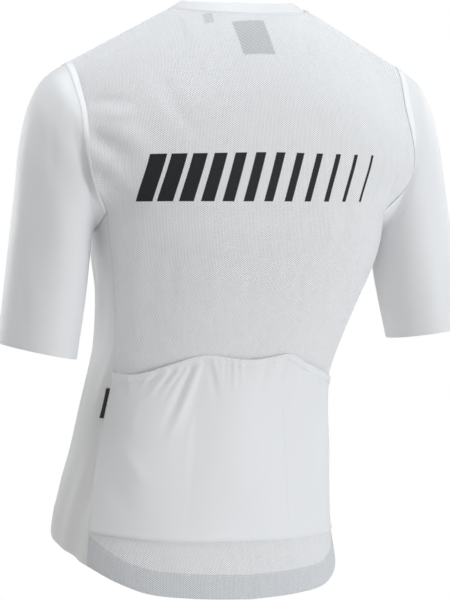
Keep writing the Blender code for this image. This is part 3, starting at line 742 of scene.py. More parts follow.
class Dye:
    """A material that is being made: its places, patterns, colours and bump."""

    def __init__(self, name: str) -> None:
        """Starts a material of that name with a lone Principled shader."""
        self.material = bpy.data.materials.new(name)
        self.material.use_nodes = True
        self.tree = self.material.node_tree
        self.shader = self.tree.nodes["Principled BSDF"]

    def cloth_place(self) -> tuple[Value, Value]:
        """The place across and along the cloth, in metres, from its own map."""
        uv = add_node(self.tree, "UVMap", uv_map=CLOTH_MAP)
        split = add_node(self.tree, "SeparateXYZ", {0: uv.outputs[0]})
        return Value(split.outputs[0]), Value(split.outputs[1])

    def attribute(self, name: str) -> Value:
        """A number that the mesh holds at each point."""
        return Value(add_node(self.tree, "Attribute", attribute_name=name).outputs["Fac"])

    def noise(self, scale: float, detail: float = 2.0, stretch: Sequence[float] = (1, 1, 1)) -> Value:
        """Soft noise in the object's own space.

        Args:
            scale: Spots to the metre.
            detail: How many finer layers it has.
            stretch: How much denser it is along each axis.

        Returns:
            Its value, about 0.5 on average.
        """
        place = add_node(self.tree, "TexCoord").outputs["Object"]
        turned = add_node(self.tree, "Mapping", {"Vector": place, "Scale": stretch}).outputs["Vector"]
        given = {"Vector": turned, "Scale": scale, "Detail": detail}
        return Value(add_node(self.tree, "TexNoise", given).outputs["Fac"])

    def blend(self, share: Value, low: Tint, high: Tint) -> Socket:
        """Mixes two colours.

        Args:
            share: How much of the high colour shows.
            low: The colour at share 0, as red, green and blue or another mix.
            high: The colour at share 1, in the same way.

        Returns:
            The mixed colour's socket.
        """
        return add_node(self.tree, "Mix", {"Factor": share, 6: low, 7: high}, data_type="RGBA").outputs[2]

    def shade(
        self,
        colour: Tint,
        roughness: Value | float,
        sheen: Value | float = 0.0,
        metallic: float = 0.0,
        specular: Value | float = 0.5,
    ) -> None:
        """Sets the shader's own sockets.

        Args:
            colour: Red, green and blue, or a mix.
            roughness: How rough the surface is.
            sheen: How much light the nap scatters.
            metallic: 1 for metal.
            specular: How much the surface mirrors.
        """
        given = {
            "Base Color": colour,
            "Roughness": roughness,
            "Sheen Weight": sheen,
            "Sheen Roughness": 0.45,
            "Metallic": metallic,
            "Specular IOR Level": specular,
        }
        for name, share in given.items():
            feed(self.shader.inputs[name], share)

    def emboss(self, height: Value, depth: float, strength: float = 1.0) -> None:
        """Gives the surface a fine relief.

        Args:
            height: The relief, from 0 to 1.
            depth: What 1 stands for, in metres.
            strength: How much of it is seen.
        """
        bump = add_node(self.tree, "Bump", {"Distance": depth, "Strength": strength, "Height": height})
        feed(self.shader.inputs["Normal"], bump.outputs[0])


@dataclass(frozen=True)
class SlantedBars:
    """The plain printed motif of the back: a row of slanted bars that grow thinner.

    Across is measured from the centre back and up from the armpits, in metres on the cloth.
    """

    count: int = 12
    first_across: float = -0.152
    pitch: float = 0.0250
    middle_up: float = 0.040
    tall: float = 0.056
    slant: float = 0.28
    widest: float = 0.80
    thinnest: float = 0.14
    edge: float = 0.0004
    ink: Colour = (0.012, 0.013, 0.015)

    def mask(self, across: Value, along: Value) -> Value:
        """1 on the print and 0 off it."""
        rise = along - self.middle_up
        place = (across - rise * self.slant - self.first_across) / self.pitch
        number = place.floor()
        wide = number * ((self.thinnest - self.widest) / (self.count - 1)) + self.widest
        soft = self.edge / self.pitch
        on_bar = (place.part() - wide).step(soft, -soft)
        in_row = rise.size().step(self.tall / 2 + self.edge, self.tall / 2 - self.edge)
        after = place.step(-soft, soft)
        before = place.step(self.count + soft, self.count - soft)
        return on_bar * in_row * after * before


@dataclass(frozen=True)
class LabelBehind:
    """A label inside the back that shows through the mesh, as a slanted block."""

    SHADE: ClassVar[Colour] = (0.31, 0.335, 0.36)
    middle_across: float = -0.0098
    middle_up: float = 0.2048
    half_across: float = 0.0193
    half_up: float = 0.0218
    slant: float = -0.17
    hatch: float = 0.0052
    edge: float = 0.0012
    strength: float = 0.60

    def mask(self, across: Value, along: Value) -> Value:
        """How much of the label shows, from 0 to 1."""
        up = along - self.middle_up
        side = across - self.middle_across - up * self.slant
        inside = side.size().step(self.half_across + self.edge, self.half_across - self.edge)
        level = up.size().step(self.half_up + self.edge, self.half_up - self.edge)
        return inside * level * (((side + up) / self.hatch).wave() * 0.45 + 0.55) * self.strength


NECK_LABEL = LabelBehind()
SIZE_TAB = LabelBehind(-0.0590, 0.2366, 0.0060, 0.0075, 0.0, 1.0, 0.0008, 0.30)


@dataclass(frozen=True)
class MeshKnit:
    """White micro-mesh: upright wales of eyelets between thin yarns; the eyelets are painted grey, a painted
    shade of the shaded inside that shows through them.

    Where the hem is turned up, yarn and eyelets are painted darker.
    """

    name: str
    yarn: Colour = (0.885, 0.893, 0.905)
    # eyelet: painted shade, the grey of the shaded inside seen through the holes
    eyelet: Colour = (0.46, 0.47, 0.49)
    # darker colours where the hem is turned up; doubled_eyelet is painted shade of the inside, like eyelet
    doubled_yarn: Colour = (0.735, 0.752, 0.775)
    doubled_eyelet: Colour = (0.37, 0.385, 0.41)
    wale: float = 0.00165
    course: float = 0.0023
    printed: SlantedBars | None = None
    labels: tuple[LabelBehind, ...] = ()

    def dress(self) -> Material:
        """Makes the material."""
        dye = Dye(self.name)
        across, along = dye.cloth_place()
        wale = across / self.wale
        wide = wale.part() - 0.5
        tall = (along / self.course + (wale.floor() * 0.5).part()).part() - 0.5
        from_eyelet = (wide * wide + tall * tall * 1.9).math("SQRT")
        eyelet = from_eyelet.step(0.44, 0.20)
        mottle = dye.noise(210, 3, (1, 1, 0.16))
        # how much painted shade of the inside shows at each eyelet, with random mottle
        shaded_inside_share = eyelet * (mottle * 0.7 + 0.45)
        # the mesh is painted darker where the hem is turned up
        below_hem = dye.attribute(FROM_HEM).step(0.0005, -0.0005)
        # the eyelets take the painted shade colour over the yarn
        single = dye.blend(shaded_inside_share, self.yarn, self.eyelet)
        double = dye.blend(shaded_inside_share, self.doubled_yarn, self.doubled_eyelet)
        colour = dye.blend(below_hem, single, double)
        for label in self.labels:
            colour = dye.blend(label.mask(across, along), colour, LabelBehind.SHADE)
        roughness = dye.noise(60) * 0.1 + 0.68
        relief = (eyelet * -1.0 + 1.0) * 0.8 + mottle * 0.2
        specular = 0.5
        if self.printed:
            ink = self.printed.mask(across, along)
            colour = dye.blend(ink * (shaded_inside_share * -0.06 + 1.0), colour, self.printed.ink)
            roughness = roughness - ink * 0.12
            specular = ink * -0.25 + 0.5
        dye.shade(colour, roughness, specular=specular)
        dye.emboss(relief, 0.00035, 0.9)
        return dye.material


@dataclass(frozen=True)
class SmoothKnit:
    """Smooth white stretch knit with fine ribs and a soft sheen."""

    name: str
    colour: Colour = (0.86, 0.87, 0.885)
    rib: float = 0.0011
    course: float = 0.0008
    rib_depth: float = 0.00010
    sheen: float = 0.3

    def dress(self) -> Material:
        """Makes the material."""
        dye = Dye(self.name)
        across, along = dye.cloth_place()
        rib = (across / self.rib).wave()
        course = (along / self.course + (across / self.rib).floor() * 0.5).wave()
        cloud = dye.noise(14, 3)
        threads = rib * 0.35 + course * 0.15 + cloud * 0.5
        colour = dye.blend(threads, scaled(self.colour, 0.94), self.colour)
        dye.shade(colour, dye.noise(90) * 0.12 + 0.46, sheen=self.sheen)
        dye.emboss(rib * 0.7 + course * 0.3, self.rib_depth, 0.7)
        return dye.material


@dataclass(frozen=True)
class ElasticTape:
    """Flat elastic tape: fine cords along it and a matt, slightly brighter white."""

    name: str
    colour: Colour = (0.95, 0.96, 0.975)
    cord: float = 0.0010
    pick: float = 0.0007
    pleat: float = 0.0

    def dress(self) -> Material:
        """Makes the material, whose pleats are the small gathers that the elastic draws together."""
        dye = Dye(self.name)
        across, along = dye.cloth_place()
        cords = (along / self.cord).wave()
        picks = (across / self.pick).wave()
        shade = cords * 0.6 + picks * 0.4
        colour = dye.blend(shade, scaled(self.colour, 0.95), self.colour)
        dye.shade(colour, dye.noise(120) * 0.1 + 0.42, sheen=0.2)
        if self.pleat:
            uneven = dye.noise(75, 1) * 1.6
            pleats = (across / self.pleat + uneven).wave() * (dye.noise(40, 1) * 0.9 + 0.35)
            dye.emboss(pleats * 0.75 + shade * 0.25, 0.00055, 0.8)
        else:
            dye.emboss(shade, 0.00010, 0.8)
        return dye.material


@dataclass(frozen=True)
class Thread:
    """Twisted polyester sewing thread."""

    name: str
    colour: Colour = (0.90, 0.91, 0.92)
    twist: float = 2600.0

    def dress(self) -> Material:
        """Makes the material."""
        dye = Dye(self.name)
        strands = dye.noise(self.twist, 1)
        colour = dye.blend(strands, scaled(self.colour, 0.85), self.colour)
        dye.shade(colour, strands * 0.2 + 0.4, sheen=0.2)
        dye.emboss(strands, 0.00005, 0.6)
        return dye.material


@dataclass(frozen=True)
class WovenLabel:
    """A woven label: satin weave with fine ribs across it."""

    name: str
    colour: Colour
    roughness: float = 0.6
    pick: float = 0.0006

    def dress(self) -> Material:
        """Makes the material."""
        dye = Dye(self.name)
        across, along = dye.cloth_place()
        weave = (along / self.pick).wave() * (across / self.pick * 0.5 + along / self.pick * 0.25).wave()
        bright = tuple(min(c * 1.6 + 0.015, 1) for c in self.colour)
        colour = dye.blend(weave * 0.8 + dye.noise(700) * 0.2, self.colour, bright)
        dye.shade(colour, dye.noise(300) * 0.15 + self.roughness - 0.07, sheen=0.1)
        dye.emboss(weave, 0.00008, 0.8)
        return dye.material


@dataclass(frozen=True)
class HatchedFilm:
    """The label bonded inside the neck: a grey film with slanted hatching."""

    name: str
    colour: Colour = (0.42, 0.44, 0.46)
    hatch: float = 0.0026

    def dress(self) -> Material:
        """Makes the material."""
        dye = Dye(self.name)
        across, along = dye.cloth_place()
        hatch = ((across + along) / self.hatch).wave()
        colour = dye.blend(hatch, self.colour, scaled(self.colour, 1.5))
        dye.shade(colour, dye.noise(200) * 0.1 + 0.45)
        dye.emboss(hatch, 0.00005, 0.5)
        return dye.material


@dataclass(frozen=True)
class NylonCoil:
    """The moulded nylon of the zip's teeth and stop."""

    name: str
    colour: Colour = (0.86, 0.87, 0.88)

    def dress(self) -> Material:
        """Makes the material."""
        dye = Dye(self.name)
        grain = dye.noise(900, 2)
        dye.shade(dye.blend(grain, scaled(self.colour, 0.9), self.colour), grain * 0.15 + 0.28)
        dye.emboss(grain, 0.00002, 0.5)
        return dye.material


@dataclass(frozen=True)
class SatinMetal:
    """Tumbled and plated zinc: fine scratches and slightly rubbed faces."""

    name: str
    colour: Colour = (0.78, 0.79, 0.81)

    def dress(self) -> Material:
        """Makes the material."""
        dye = Dye(self.name)
        scratches = dye.noise(1500, 4, (1, 1, 0.15))
        rubbed = dye.noise(160, 2)
        colour = dye.blend(rubbed, scaled(self.colour, 0.88), self.colour)
        dye.shade(colour, scratches * 0.22 + rubbed * 0.1 + 0.16, metallic=1.0)
        dye.emboss(scratches, 0.00002, 0.5)
        return dye.material


# Making pieces


BODY = "jersey"
COLLECTION = "cycling_jersey_looks"
# the shortest side that a sheet may state, in metres
LEAST_SIDE = 0.010  # LEAST_SIDE = 0.010 # the shortest side logged for a sheet's flat size, in metres
# the least share of its flat size that a sheet may state as its area
LEAST_AREA = 0.31  # LEAST_AREA = 0.31 # the least share of its flat size that is logged as a sheet's area


def hem_height(across: Array) -> Array:
    """How far up the cloth the turned-up hem reaches, a little further at the side seams of the back."""
    return 0.0285 + 0.0085 * np.clip((np.abs(across) - 0.150) / 0.055, 0, 1) ** 1.5


def cloth_grid(bm: Bmesh, patch: Patch, hem_row: bool) -> None:
    """Adds a grid primitive to a bmesh, moves it onto a patch and gives it the cloth's map.

    Args:
        bm: The bmesh.
        patch: The patch.
        hem_row: Whether the patch's first row is the hem. Each point then keeps its distance from the
            turned-up cloth's upper edge.
    """
    last_column, last_row = patch.across.shape[0] - 1, patch.across.shape[1] - 1
    uv = bm.loops.layers.uv.get(CLOTH_MAP) or bm.loops.layers.uv.new(CLOTH_MAP)
    hem = bm.verts.layers.float.get(FROM_HEM) or bm.verts.layers.float.new(FROM_HEM)
    made = bmesh.ops.create_grid(bm, x_segments=last_column, y_segments=last_row, size=0.5)
    place = {}
    for vert in made["verts"]:
        i, j = round((vert.co.x + 0.5) * last_column), round((vert.co.y + 0.5) * last_row)
        place[vert] = (patch.across[i, j], patch.along[i, j])
        rise = patch.along[i, j] - patch.along[i, 0]
        vert[hem] = rise - float(hem_height(patch.across[i, j])) if hem_row else 1.0
        vert.co = patch.points[i, j]
    for face in {face for vert in made["verts"] for face in vert.link_faces}:
        face.smooth = True
        for loop in face.loops:
            loop[uv].uv = place[loop.vert]


def tuck_border(bm: Bmesh, inset: float, drop: float) -> None:
    """Draws a sheet's border in and rolls it under, and keeps its edge crisp.

    Args:
        bm: The sheet.
        inset: How far its border is drawn in.
        drop: How far it is pressed into the cloth.
    """
    bm.normal_update()
    moves = {}
    for vert in bm.verts:
        if not vert.is_boundary:
            continue
        others = [edge.other_vert(vert).co for edge in vert.link_edges if not edge.is_boundary]
        others = others or [edge.other_vert(vert).co for edge in vert.link_edges]
        way = sum((other - vert.co for other in others), Vector()).normalized()
        moves[vert] = way * inset - vert.normal * drop
    for vert, move in moves.items():
        vert.co += move
    for edge in bm.edges:
        if edge.is_boundary:
            edge.smooth = False


def new_object(name: str, bm: Bmesh, material: Material) -> Object:
    """Makes an object of a bmesh.

    Args:
        name: The object's name.
        bm: Its mesh, which is freed.
        material: Its material.

    Returns:
        The object, linked to the scene.
    """
    mesh = bpy.data.meshes.new(name)
    bm.to_mesh(mesh)
    bm.free()
    mesh.materials.append(material)
    obj = bpy.data.objects.new(name, mesh)
    bpy.data.collections[COLLECTION].objects.link(obj)
    return obj


def thickened(obj: Object, thickness: float) -> None:
    """Gives an open sheet its thickness, inwards from its face."""
    wall = obj.modifiers.new("wall", "SOLIDIFY")
    wall.thickness = thickness
    wall.offset = -1.0
    wall.use_even_offset = False
    wall.use_rim = True


@dataclass
class Cloth:
    """A piece of cloth to be made of patches that share edges.

    Its border is drawn in by inset and rolled under by drop. slot names a slot for its finish but is not
    used, and node is the CAD node that it stands for.
    """

    name: str
    patches: list[Patch]
    finish: Material
    slot: str
    node: str
    rests_on: tuple[str, ...]
    held: str = "stretched"
    thickness: float = 0.0012
    inset: float = 0.00008
    drop: float = 0.00025
    hem_row: bool = False

    def make(self) -> Object:
        bm = bmesh.new()
        for patch in self.patches:
            cloth_grid(bm, patch, self.hem_row)
        bmesh.ops.remove_doubles(bm, verts=bm.verts, dist=1e-6)
        tuck_border(bm, self.inset, self.drop)
        obj = new_object(self.name, bm, self.finish)
        thickened(obj, self.thickness)
        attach(obj, BODY)
        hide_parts(self.node)
        width, length = self.flat()
        area = min(sum(patch.area() for patch in self.patches), width * length)
        area = max(area, LEAST_AREA * width * length)
        LOG.info("%s: flat %.3f x %.3f m, %.4f m2", self.name, width, length, area)
        return obj

    def flat(self) -> tuple[float, float]:
        """The size that the piece is cut from, as the widest row and the longest column."""
        rows = min(patch.across.shape[1] for patch in self.patches)
        wide = sum(np.ptp(patch.across[:, :rows], axis=0) for patch in self.patches)
        tall = max(float(np.ptp(patch.along, axis=1).max()) for patch in self.patches)
        return round(max(float(wide.max()), LEAST_SIDE), 3), round(max(tall, LEAST_SIDE), 3)


# Sewing


BATCH = 40  # beads made at a time, because the operator slows down as its mesh grows


def beads(places: Sequence[Matrix], around: int, along: int) -> Bmesh:
    """Makes many small rounded bodies, such as stitches or teeth.

    Args:
        places: Each one's place and size, as what turns the unit sphere into it.
        around: Its segments round its Z.
        along: Its rings along its Z.

    Returns:
        One mesh of them all.
    """
    total = bmesh.new()
    carrier = bpy.data.meshes.new("batch")
    for start in range(0, len(places), BATCH):
        part = bmesh.new()
        for place in places[start : start + BATCH]:
            bmesh.ops.create_uvsphere(part, u_segments=around, v_segments=along, radius=1.0, matrix=place)
        part.to_mesh(carrier)
        part.free()
        total.from_mesh(carrier)
    bpy.data.meshes.remove(carrier)
    return total


def hard_piece(
    name: str, bm: Bmesh, material: Material, node: str = "", body: str = BODY
) -> None:
    """Makes a smooth-shaded piece that isn't cloth, with its faces out.

    Args:
        name: The piece's name.
        bm: Its mesh, which is freed.
        material: Its material.
        node: The CAD node that it stands for, if any.
        body: The body that it rides on.
    """
    bmesh.ops.recalc_face_normals(bm, faces=bm.faces)
    obj = new_object(name, bm, material)
    obj.data.shade_smooth()
    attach(obj, body)
    if node:
        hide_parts(node)
    LOG.info("%s: %d faces", name, len(obj.data.polygons))


@dataclass(frozen=True)
class Stitching:
    """Rows of stitches in one thread: share of each pitch shows, and the thread is a little sunk."""

    name: str
    pitch: float
    share: float = 0.78
    thread: float = 0.00020
    sunk: float = 0.00006

    def make(self, lines: Iterable[Line], thread: Material, slot: str) -> None:
        """Sews along lines.

        Args:
            lines: The lines on the cloth.
            thread: The thread's material.
            slot: A slot for it; not used.
        """
        places = []
        for line in lines:
            spaced = line.spaced(self.pitch)
            trios = zip(spaced.points, spaced.points[1:], spaced.ways)
            places += [self.stitch(*map(Vector, trio)) for trio in trios]
        hard_piece(self.name, beads(places, 6, 4), thread)

    def stitch(self, start: Vector, end: Vector, way: Vector) -> Matrix:
        """The place and size of one stitch between two needle holes.

        Args:
            start: The first hole.
            end: The second hole.
            way: The way out of the cloth.

        Returns:
            What turns the unit sphere into it.
        """
        along = end - start
        side = way.cross(along).normalized()
        up = along.cross(side).normalized()
        middle = (start + end) / 2 + up * (self.thread * 0.6 - self.sunk)
        shape = Matrix((side * self.thread, up * self.thread * 0.8, along * self.share / 2))
        return Matrix.Translation(middle) @ shape.transposed().to_4x4()


# The jersey's pieces


class Finishes:
    """All the materials of the jersey."""

    def __init__(self) -> None:
        """Makes the materials."""
        self.mesh = MeshKnit("back_mesh", printed=SlantedBars(), labels=(NECK_LABEL, SIZE_TAB)).dress()
        self.facing = MeshKnit("facing_mesh").dress()
        self.smooth = SmoothKnit("smooth_knit").dress()
        self.front = SmoothKnit("front_knit", (0.825, 0.826, 0.826), sheen=0.9).dress()
        self.sleeve = SmoothKnit("sleeve_knit", (0.835, 0.845, 0.86), 0.0014).dress()
        self.band = SmoothKnit("collar_knit", rib=0.0014).dress()
        self.tape = ElasticTape("elastic_tape").dress()
        self.elastic = ElasticTape("gathered_elastic", (0.90, 0.91, 0.925), pleat=0.0029).dress()
        self.zip_tape = ElasticTape("zip_tape", (0.85, 0.86, 0.87), 0.0008, 0.0008).dress()
        self.thread = Thread("white_thread").dress()
        self.black_label = WovenLabel("black_label", (0.012, 0.012, 0.013)).dress()
        self.grey_label = HatchedFilm("grey_label").dress()
        self.size_tab = WovenLabel("size_tab", (0.45, 0.46, 0.48), 0.7).dress()
        self.coil = NylonCoil("nylon_coil").dress()
        self.metal = SatinMetal("satin_metal").dress()


@dataclass
class BodyPanels:
    """The back and the two fronts.

    The fields with rows, steps and columns say how fine their grids are. Columns within zip_reach of the
    centre front are shifted to leave zip_slot, and creases die out within zip_calm of it and within
    under_arm of the armhole. hem_lift is the step where the turned-up hem doubles the cloth.
    """

    form: JerseyForm
    finishes: Finishes
    body_rows: int = 148
    yoke_steps: int = 25
    neck_columns: int = 28
    shoulder_columns: int = 40
    flank_columns: int = 38
    zip_slot: float = 0.0048
    zip_reach: float = 0.05
    zip_calm: float = 14 * MM
    under_arm: float = 12 * MM
    hem_lift: float = 0.35 * MM
    back: Patch = field(init=False)
    fronts: dict[Side, list[Patch]] = field(init=False)

    def half(self, side: Side, front: bool) -> Array:
        """The columns of one half of the back or the front, from the centre out."""
        neck = self.form.neck_share * np.arange(self.neck_columns) / self.neck_columns
        shoulder = np.linspace(self.form.neck_share, 1.0, self.shoulder_columns + 1)
        share = np.concatenate([neck, shoulder])
        return self.form.panel_columns(share, front, side, self.body_rows, self.yoke_steps)

    def lay_back(self) -> Patch:
        """Lays the back, from its left seam to its right seam, and creases it."""
        left, right = self.half(Side.LEFT, False), self.half(Side.RIGHT, False)
        patch = Patch.laid(np.concatenate([left[::-1], right[1:]]), len(left) - 1, self.body_rows)
        aside = np.minimum(patch.across - patch.across[0], patch.across[-1] - patch.across)
        below = patch.along[:, -1:] - patch.along
        share, welt = beside_seams(np.minimum(aside, below))
        return patch.moved(creased(patch, BACK_CREASES) * share + welt + self.hem_step(patch))

    def lay_front(self, side: Side) -> list[Patch]:
        """Lays one front: its main part, from the zip to under the arm, and the flank to the back seam.

        Args:
            side: The front's side.

        Returns:
            The two patches, which share the column under the front of the arm.
        """
        form, rows = self.form, self.body_rows + 1
        main = Patch.laid(self.beside_zip(self.half(side, True)), 0, self.body_rows)
        angles = np.linspace(form.front_fold, form.back_seam, self.flank_columns + 1)
        flank = Patch.laid(form.body_columns(angles * side.value, self.body_rows), 0, self.body_rows)
        flank.across += main.across[-1, :rows]
        ways = [main.ways_out(), flank.ways_out()]
        ways[0][-1, :rows] = ways[1][0] = unit(ways[0][-1, :rows] + ways[1][0])
        top = np.minimum(main.along[:, -1:] - main.along, main.across[-1] - main.across + FAR)
        top[:, rows:] = np.minimum(top, main.across[-1] - main.across)[:, rows:]
        past_fold = np.clip((flank.across - flank.across[0]) / self.under_arm, 0, 1)
        armhole = flank.along[:, -1:] - flank.along + (1 - past_fold) * FAR
        gaps = (top, np.minimum(flank.across[-1] - flank.across, armhole))
        made = []
        for patch, out, gap in zip((main, flank), ways, gaps):
            share, welt = beside_seams(gap)
            share = share * np.clip(patch.across / self.zip_calm, 0, 1)
            lift = creased(patch, FRONT_CREASES[side]) * share + welt + self.hem_step(patch)
            made.append(patch.moved(lift * side.value, out))
        return made if side is Side.LEFT else [patch.turned() for patch in made]

    def beside_zip(self, columns: Array) -> Array:
        """Shifts the columns near the centre aside, to leave the zip's slot.

        Args:
            columns: (column, row, 3), from the centre out.

        Returns:
            The shifted columns.
        """
        made = columns.copy()
        for row in range(columns.shape[1]):
            gone = walked(columns[:, row])
            at = gone + self.zip_slot * np.clip(1 - gone / self.zip_reach, 0, 1)
            made[:, row] = picked(at, gone, columns[:, row])
        return made

    def hem_step(self, patch: Patch) -> Array:
        """The low step where the turned-up hem doubles the cloth, with a dent along its stitches."""
        over = patch.along - patch.along[:, :1] - hem_height(patch.across)
        step = self.hem_lift / (1 + np.exp(over / (1.2 * MM)))
        return step - self.hem_lift * np.exp(-((over / (2.0 * MM)) ** 2))

    def build(self) -> None:
        """Makes the three panels."""
        self.back = self.lay_back()
        self.fronts = {side: self.lay_front(side) for side in Side}
        others = ("left_front_panel", "right_front_panel", "collar_band")
        Cloth(
            "back_mesh_panel", [self.back], self.finishes.mesh, "mesh_white", "back_panel", others,
            hem_row=True,
        ).make()
        for side in Side:
            Cloth(
                f"{side.word}_front_panel", self.fronts[side], self.finishes.front, "smooth_white",
                f"{side.word}_front", ("back_mesh_panel", "collar_band"), hem_row=True,
            ).make()


BACK_CREASES = (
    Crease(((-208, 98), (-190, 82), (-162, 60)), -4, 9, 0.8, 0.35),
    Crease(((-186, 106), (-164, 87), (-146, 64)), 2.2, 12, 0.3, 0.5),
    Crease(((-204, 68), (-184, 50), (-162, 28)), 2.4, 8, 0.5, 0.5, 0.2),
    Crease(((-204, 46), (-184, 27), (-160, 6)), -4.2, 9, 0.7, 0.4, 0.2),
    Crease(((-158, 4), (-157, -78), (-141, -165)), 4, 16, 0.1, 0.5, 0.4),
    Crease(((-134, 184), (-121, 150), (-110, 118), (-92, 95), (-74, 74)), -1.4, 9, 0.1, 0.5),
    Crease(((-150, 158), (-132, 122), (-108, 92)), 0.5, 12),
    Crease(((-204, 141), (-174, 134), (-140, 126)), -1.5, 6.5, 0.6, 0.3),
    Crease(((-198, 124), (-168, 115), (-140, 112)), 1.2, 6, 0.4, 0.3),
    Crease(((-118, -22), (-113, -76), (-101, -137)), -0.8, 5),
    Crease(((-70, -30), (-63, -84), (-58, -128)), 0.7, 4.5),
    Crease(((-32, -40), (-21, -88), (-12, -140)), -0.6, 4),
    Crease(((6, -20), (12, -70), (20, -112)), 0.6, 5),
    Crease(((38, -48), (45, -96), (55, -142)), -0.7, 4.5),
    Crease(((70, 30), (75, -12), (66, -62)), 0.9, 8),
    Crease(((94, 24), (97, -16), (90, -54)), -0.9, 7),
    Crease(((82, -70), (90, -108), (98, -150)), 0.7, 5),
    Crease(((178, 62), (177, 43), (176, 20)), -1.4, 3.2, 0.2, 0.6, 0.3),
    Crease(((204, 92), (190, 74), (168, 60)), -2, 8, 0.6, 0.3),
    Crease(((206, 40), (190, 20), (174, -16)), 1.5, 8, 0.4, 0.3),
    Crease(((150, 204), (122, 160), (104, 120)), -0.9, 9),
    Crease(((60, -376), (66, -400), (70, -420)), 0.5, 8),
    Crease(((-110, -392), (-104, -412), (-100, -436)), -0.8, 9, 0, 0.6, 0.4),
    Crease(((128, -380), (132, -402), (138, -420)), -0.7, 9, 0, 0.6, 0.4),
)
FRONT_CREASES = {
    Side.LEFT: (
        Crease(((186, 42), (150, 16), (108, 8)), -3.5, 8, 0.7, 0.25),
        Crease(((182, 74), (150, 58), (122, 54)), -2.2, 6, 0.6, 0.3),
        Crease(((196, 20), (160, -8), (132, -26)), 2.3, 7, 0.5, 0.3),
        Crease(((190, -24), (152, -84), (134, -146)), 3.1, 9, 0.3, 0.35),
        Crease(((208, -40), (184, -96), (172, -150)), -2.6, 9, 0.2, 0.4),
        Crease(((14, -146), (46, -158), (88, -148)), 2.6, 8, 0.5, 0.3),
        Crease(((12, -178), (62, -196), (116, -184)), 3.4, 9, 0.6, 0.35),
        Crease(((16, -206), (56, -222), (92, -214)), -2.3, 7, 0.4, 0.4),
        Crease(((150, 236), (122, 192), (98, 150)), -1.6, 9),
        Crease(((58, -348), (66, -300), (72, -262)), 2.6, 10, 1, 0.1),
        Crease(((118, -356), (117, -312), (110, -276)), -2.3, 10, 1, 0.1),
        Crease(((258, -190), (259, -280), (256, -384)), -5.6, 15, 0, 0.7, 0.9),
        Crease(((222, -236), (224, -300), (226, -372)), -3.2, 14, 0, 0.7, 0.8),
        Crease(((214, -30), (216, -84), (206, -132)), 1.9, 10),
        Crease(((236, -150), (228, -186), (232, -226)), 1.9, 9),
    ),
    Side.RIGHT: (
        Crease(((188, 36), (156, 14), (118, 2)), -3.4, 8.5, 0.7, 0.3),
        Crease(((184, 66), (148, 48), (116, 50)), -2.3, 6.5, 0.6, 0.3),
        Crease(((194, 12), (164, -14), (140, -36)), 2.6, 7, 0.5, 0.3),
        Crease(((192, -30), (158, -90), (146, -152)), 3, 9.5, 0.3, 0.4),
        Crease(((214, -36), (192, -90), (180, -142)), -2.3, 9, 0.2, 0.4),
        Crease(((14, -158), (50, -168), (84, -162)), 2.3, 8, 0.5, 0.3),
        Crease(((12, -192), (58, -206), (104, -200)), 3.1, 8.5, 0.6, 0.4),
        Crease(((14, -226), (50, -236), (82, -228)), -2.2, 7, 0.4, 0.4),
        Crease(((148, 230), (116, 186), (92, 142)), -1.5, 9),
        Crease(((70, -352), (78, -306), (80, -272)), 2.3, 10, 1, 0.1),
        Crease(((136, -366), (132, -322), (126, -286)), -2.2, 10, 1, 0.1),
        Crease(((240, -250), (246, -320), (250, -388)), -3, 16, 0, 0.7, 0.6),
        Crease(((216, -40), (210, -96), (198, -150)), 1.6, 10),
    ),
}


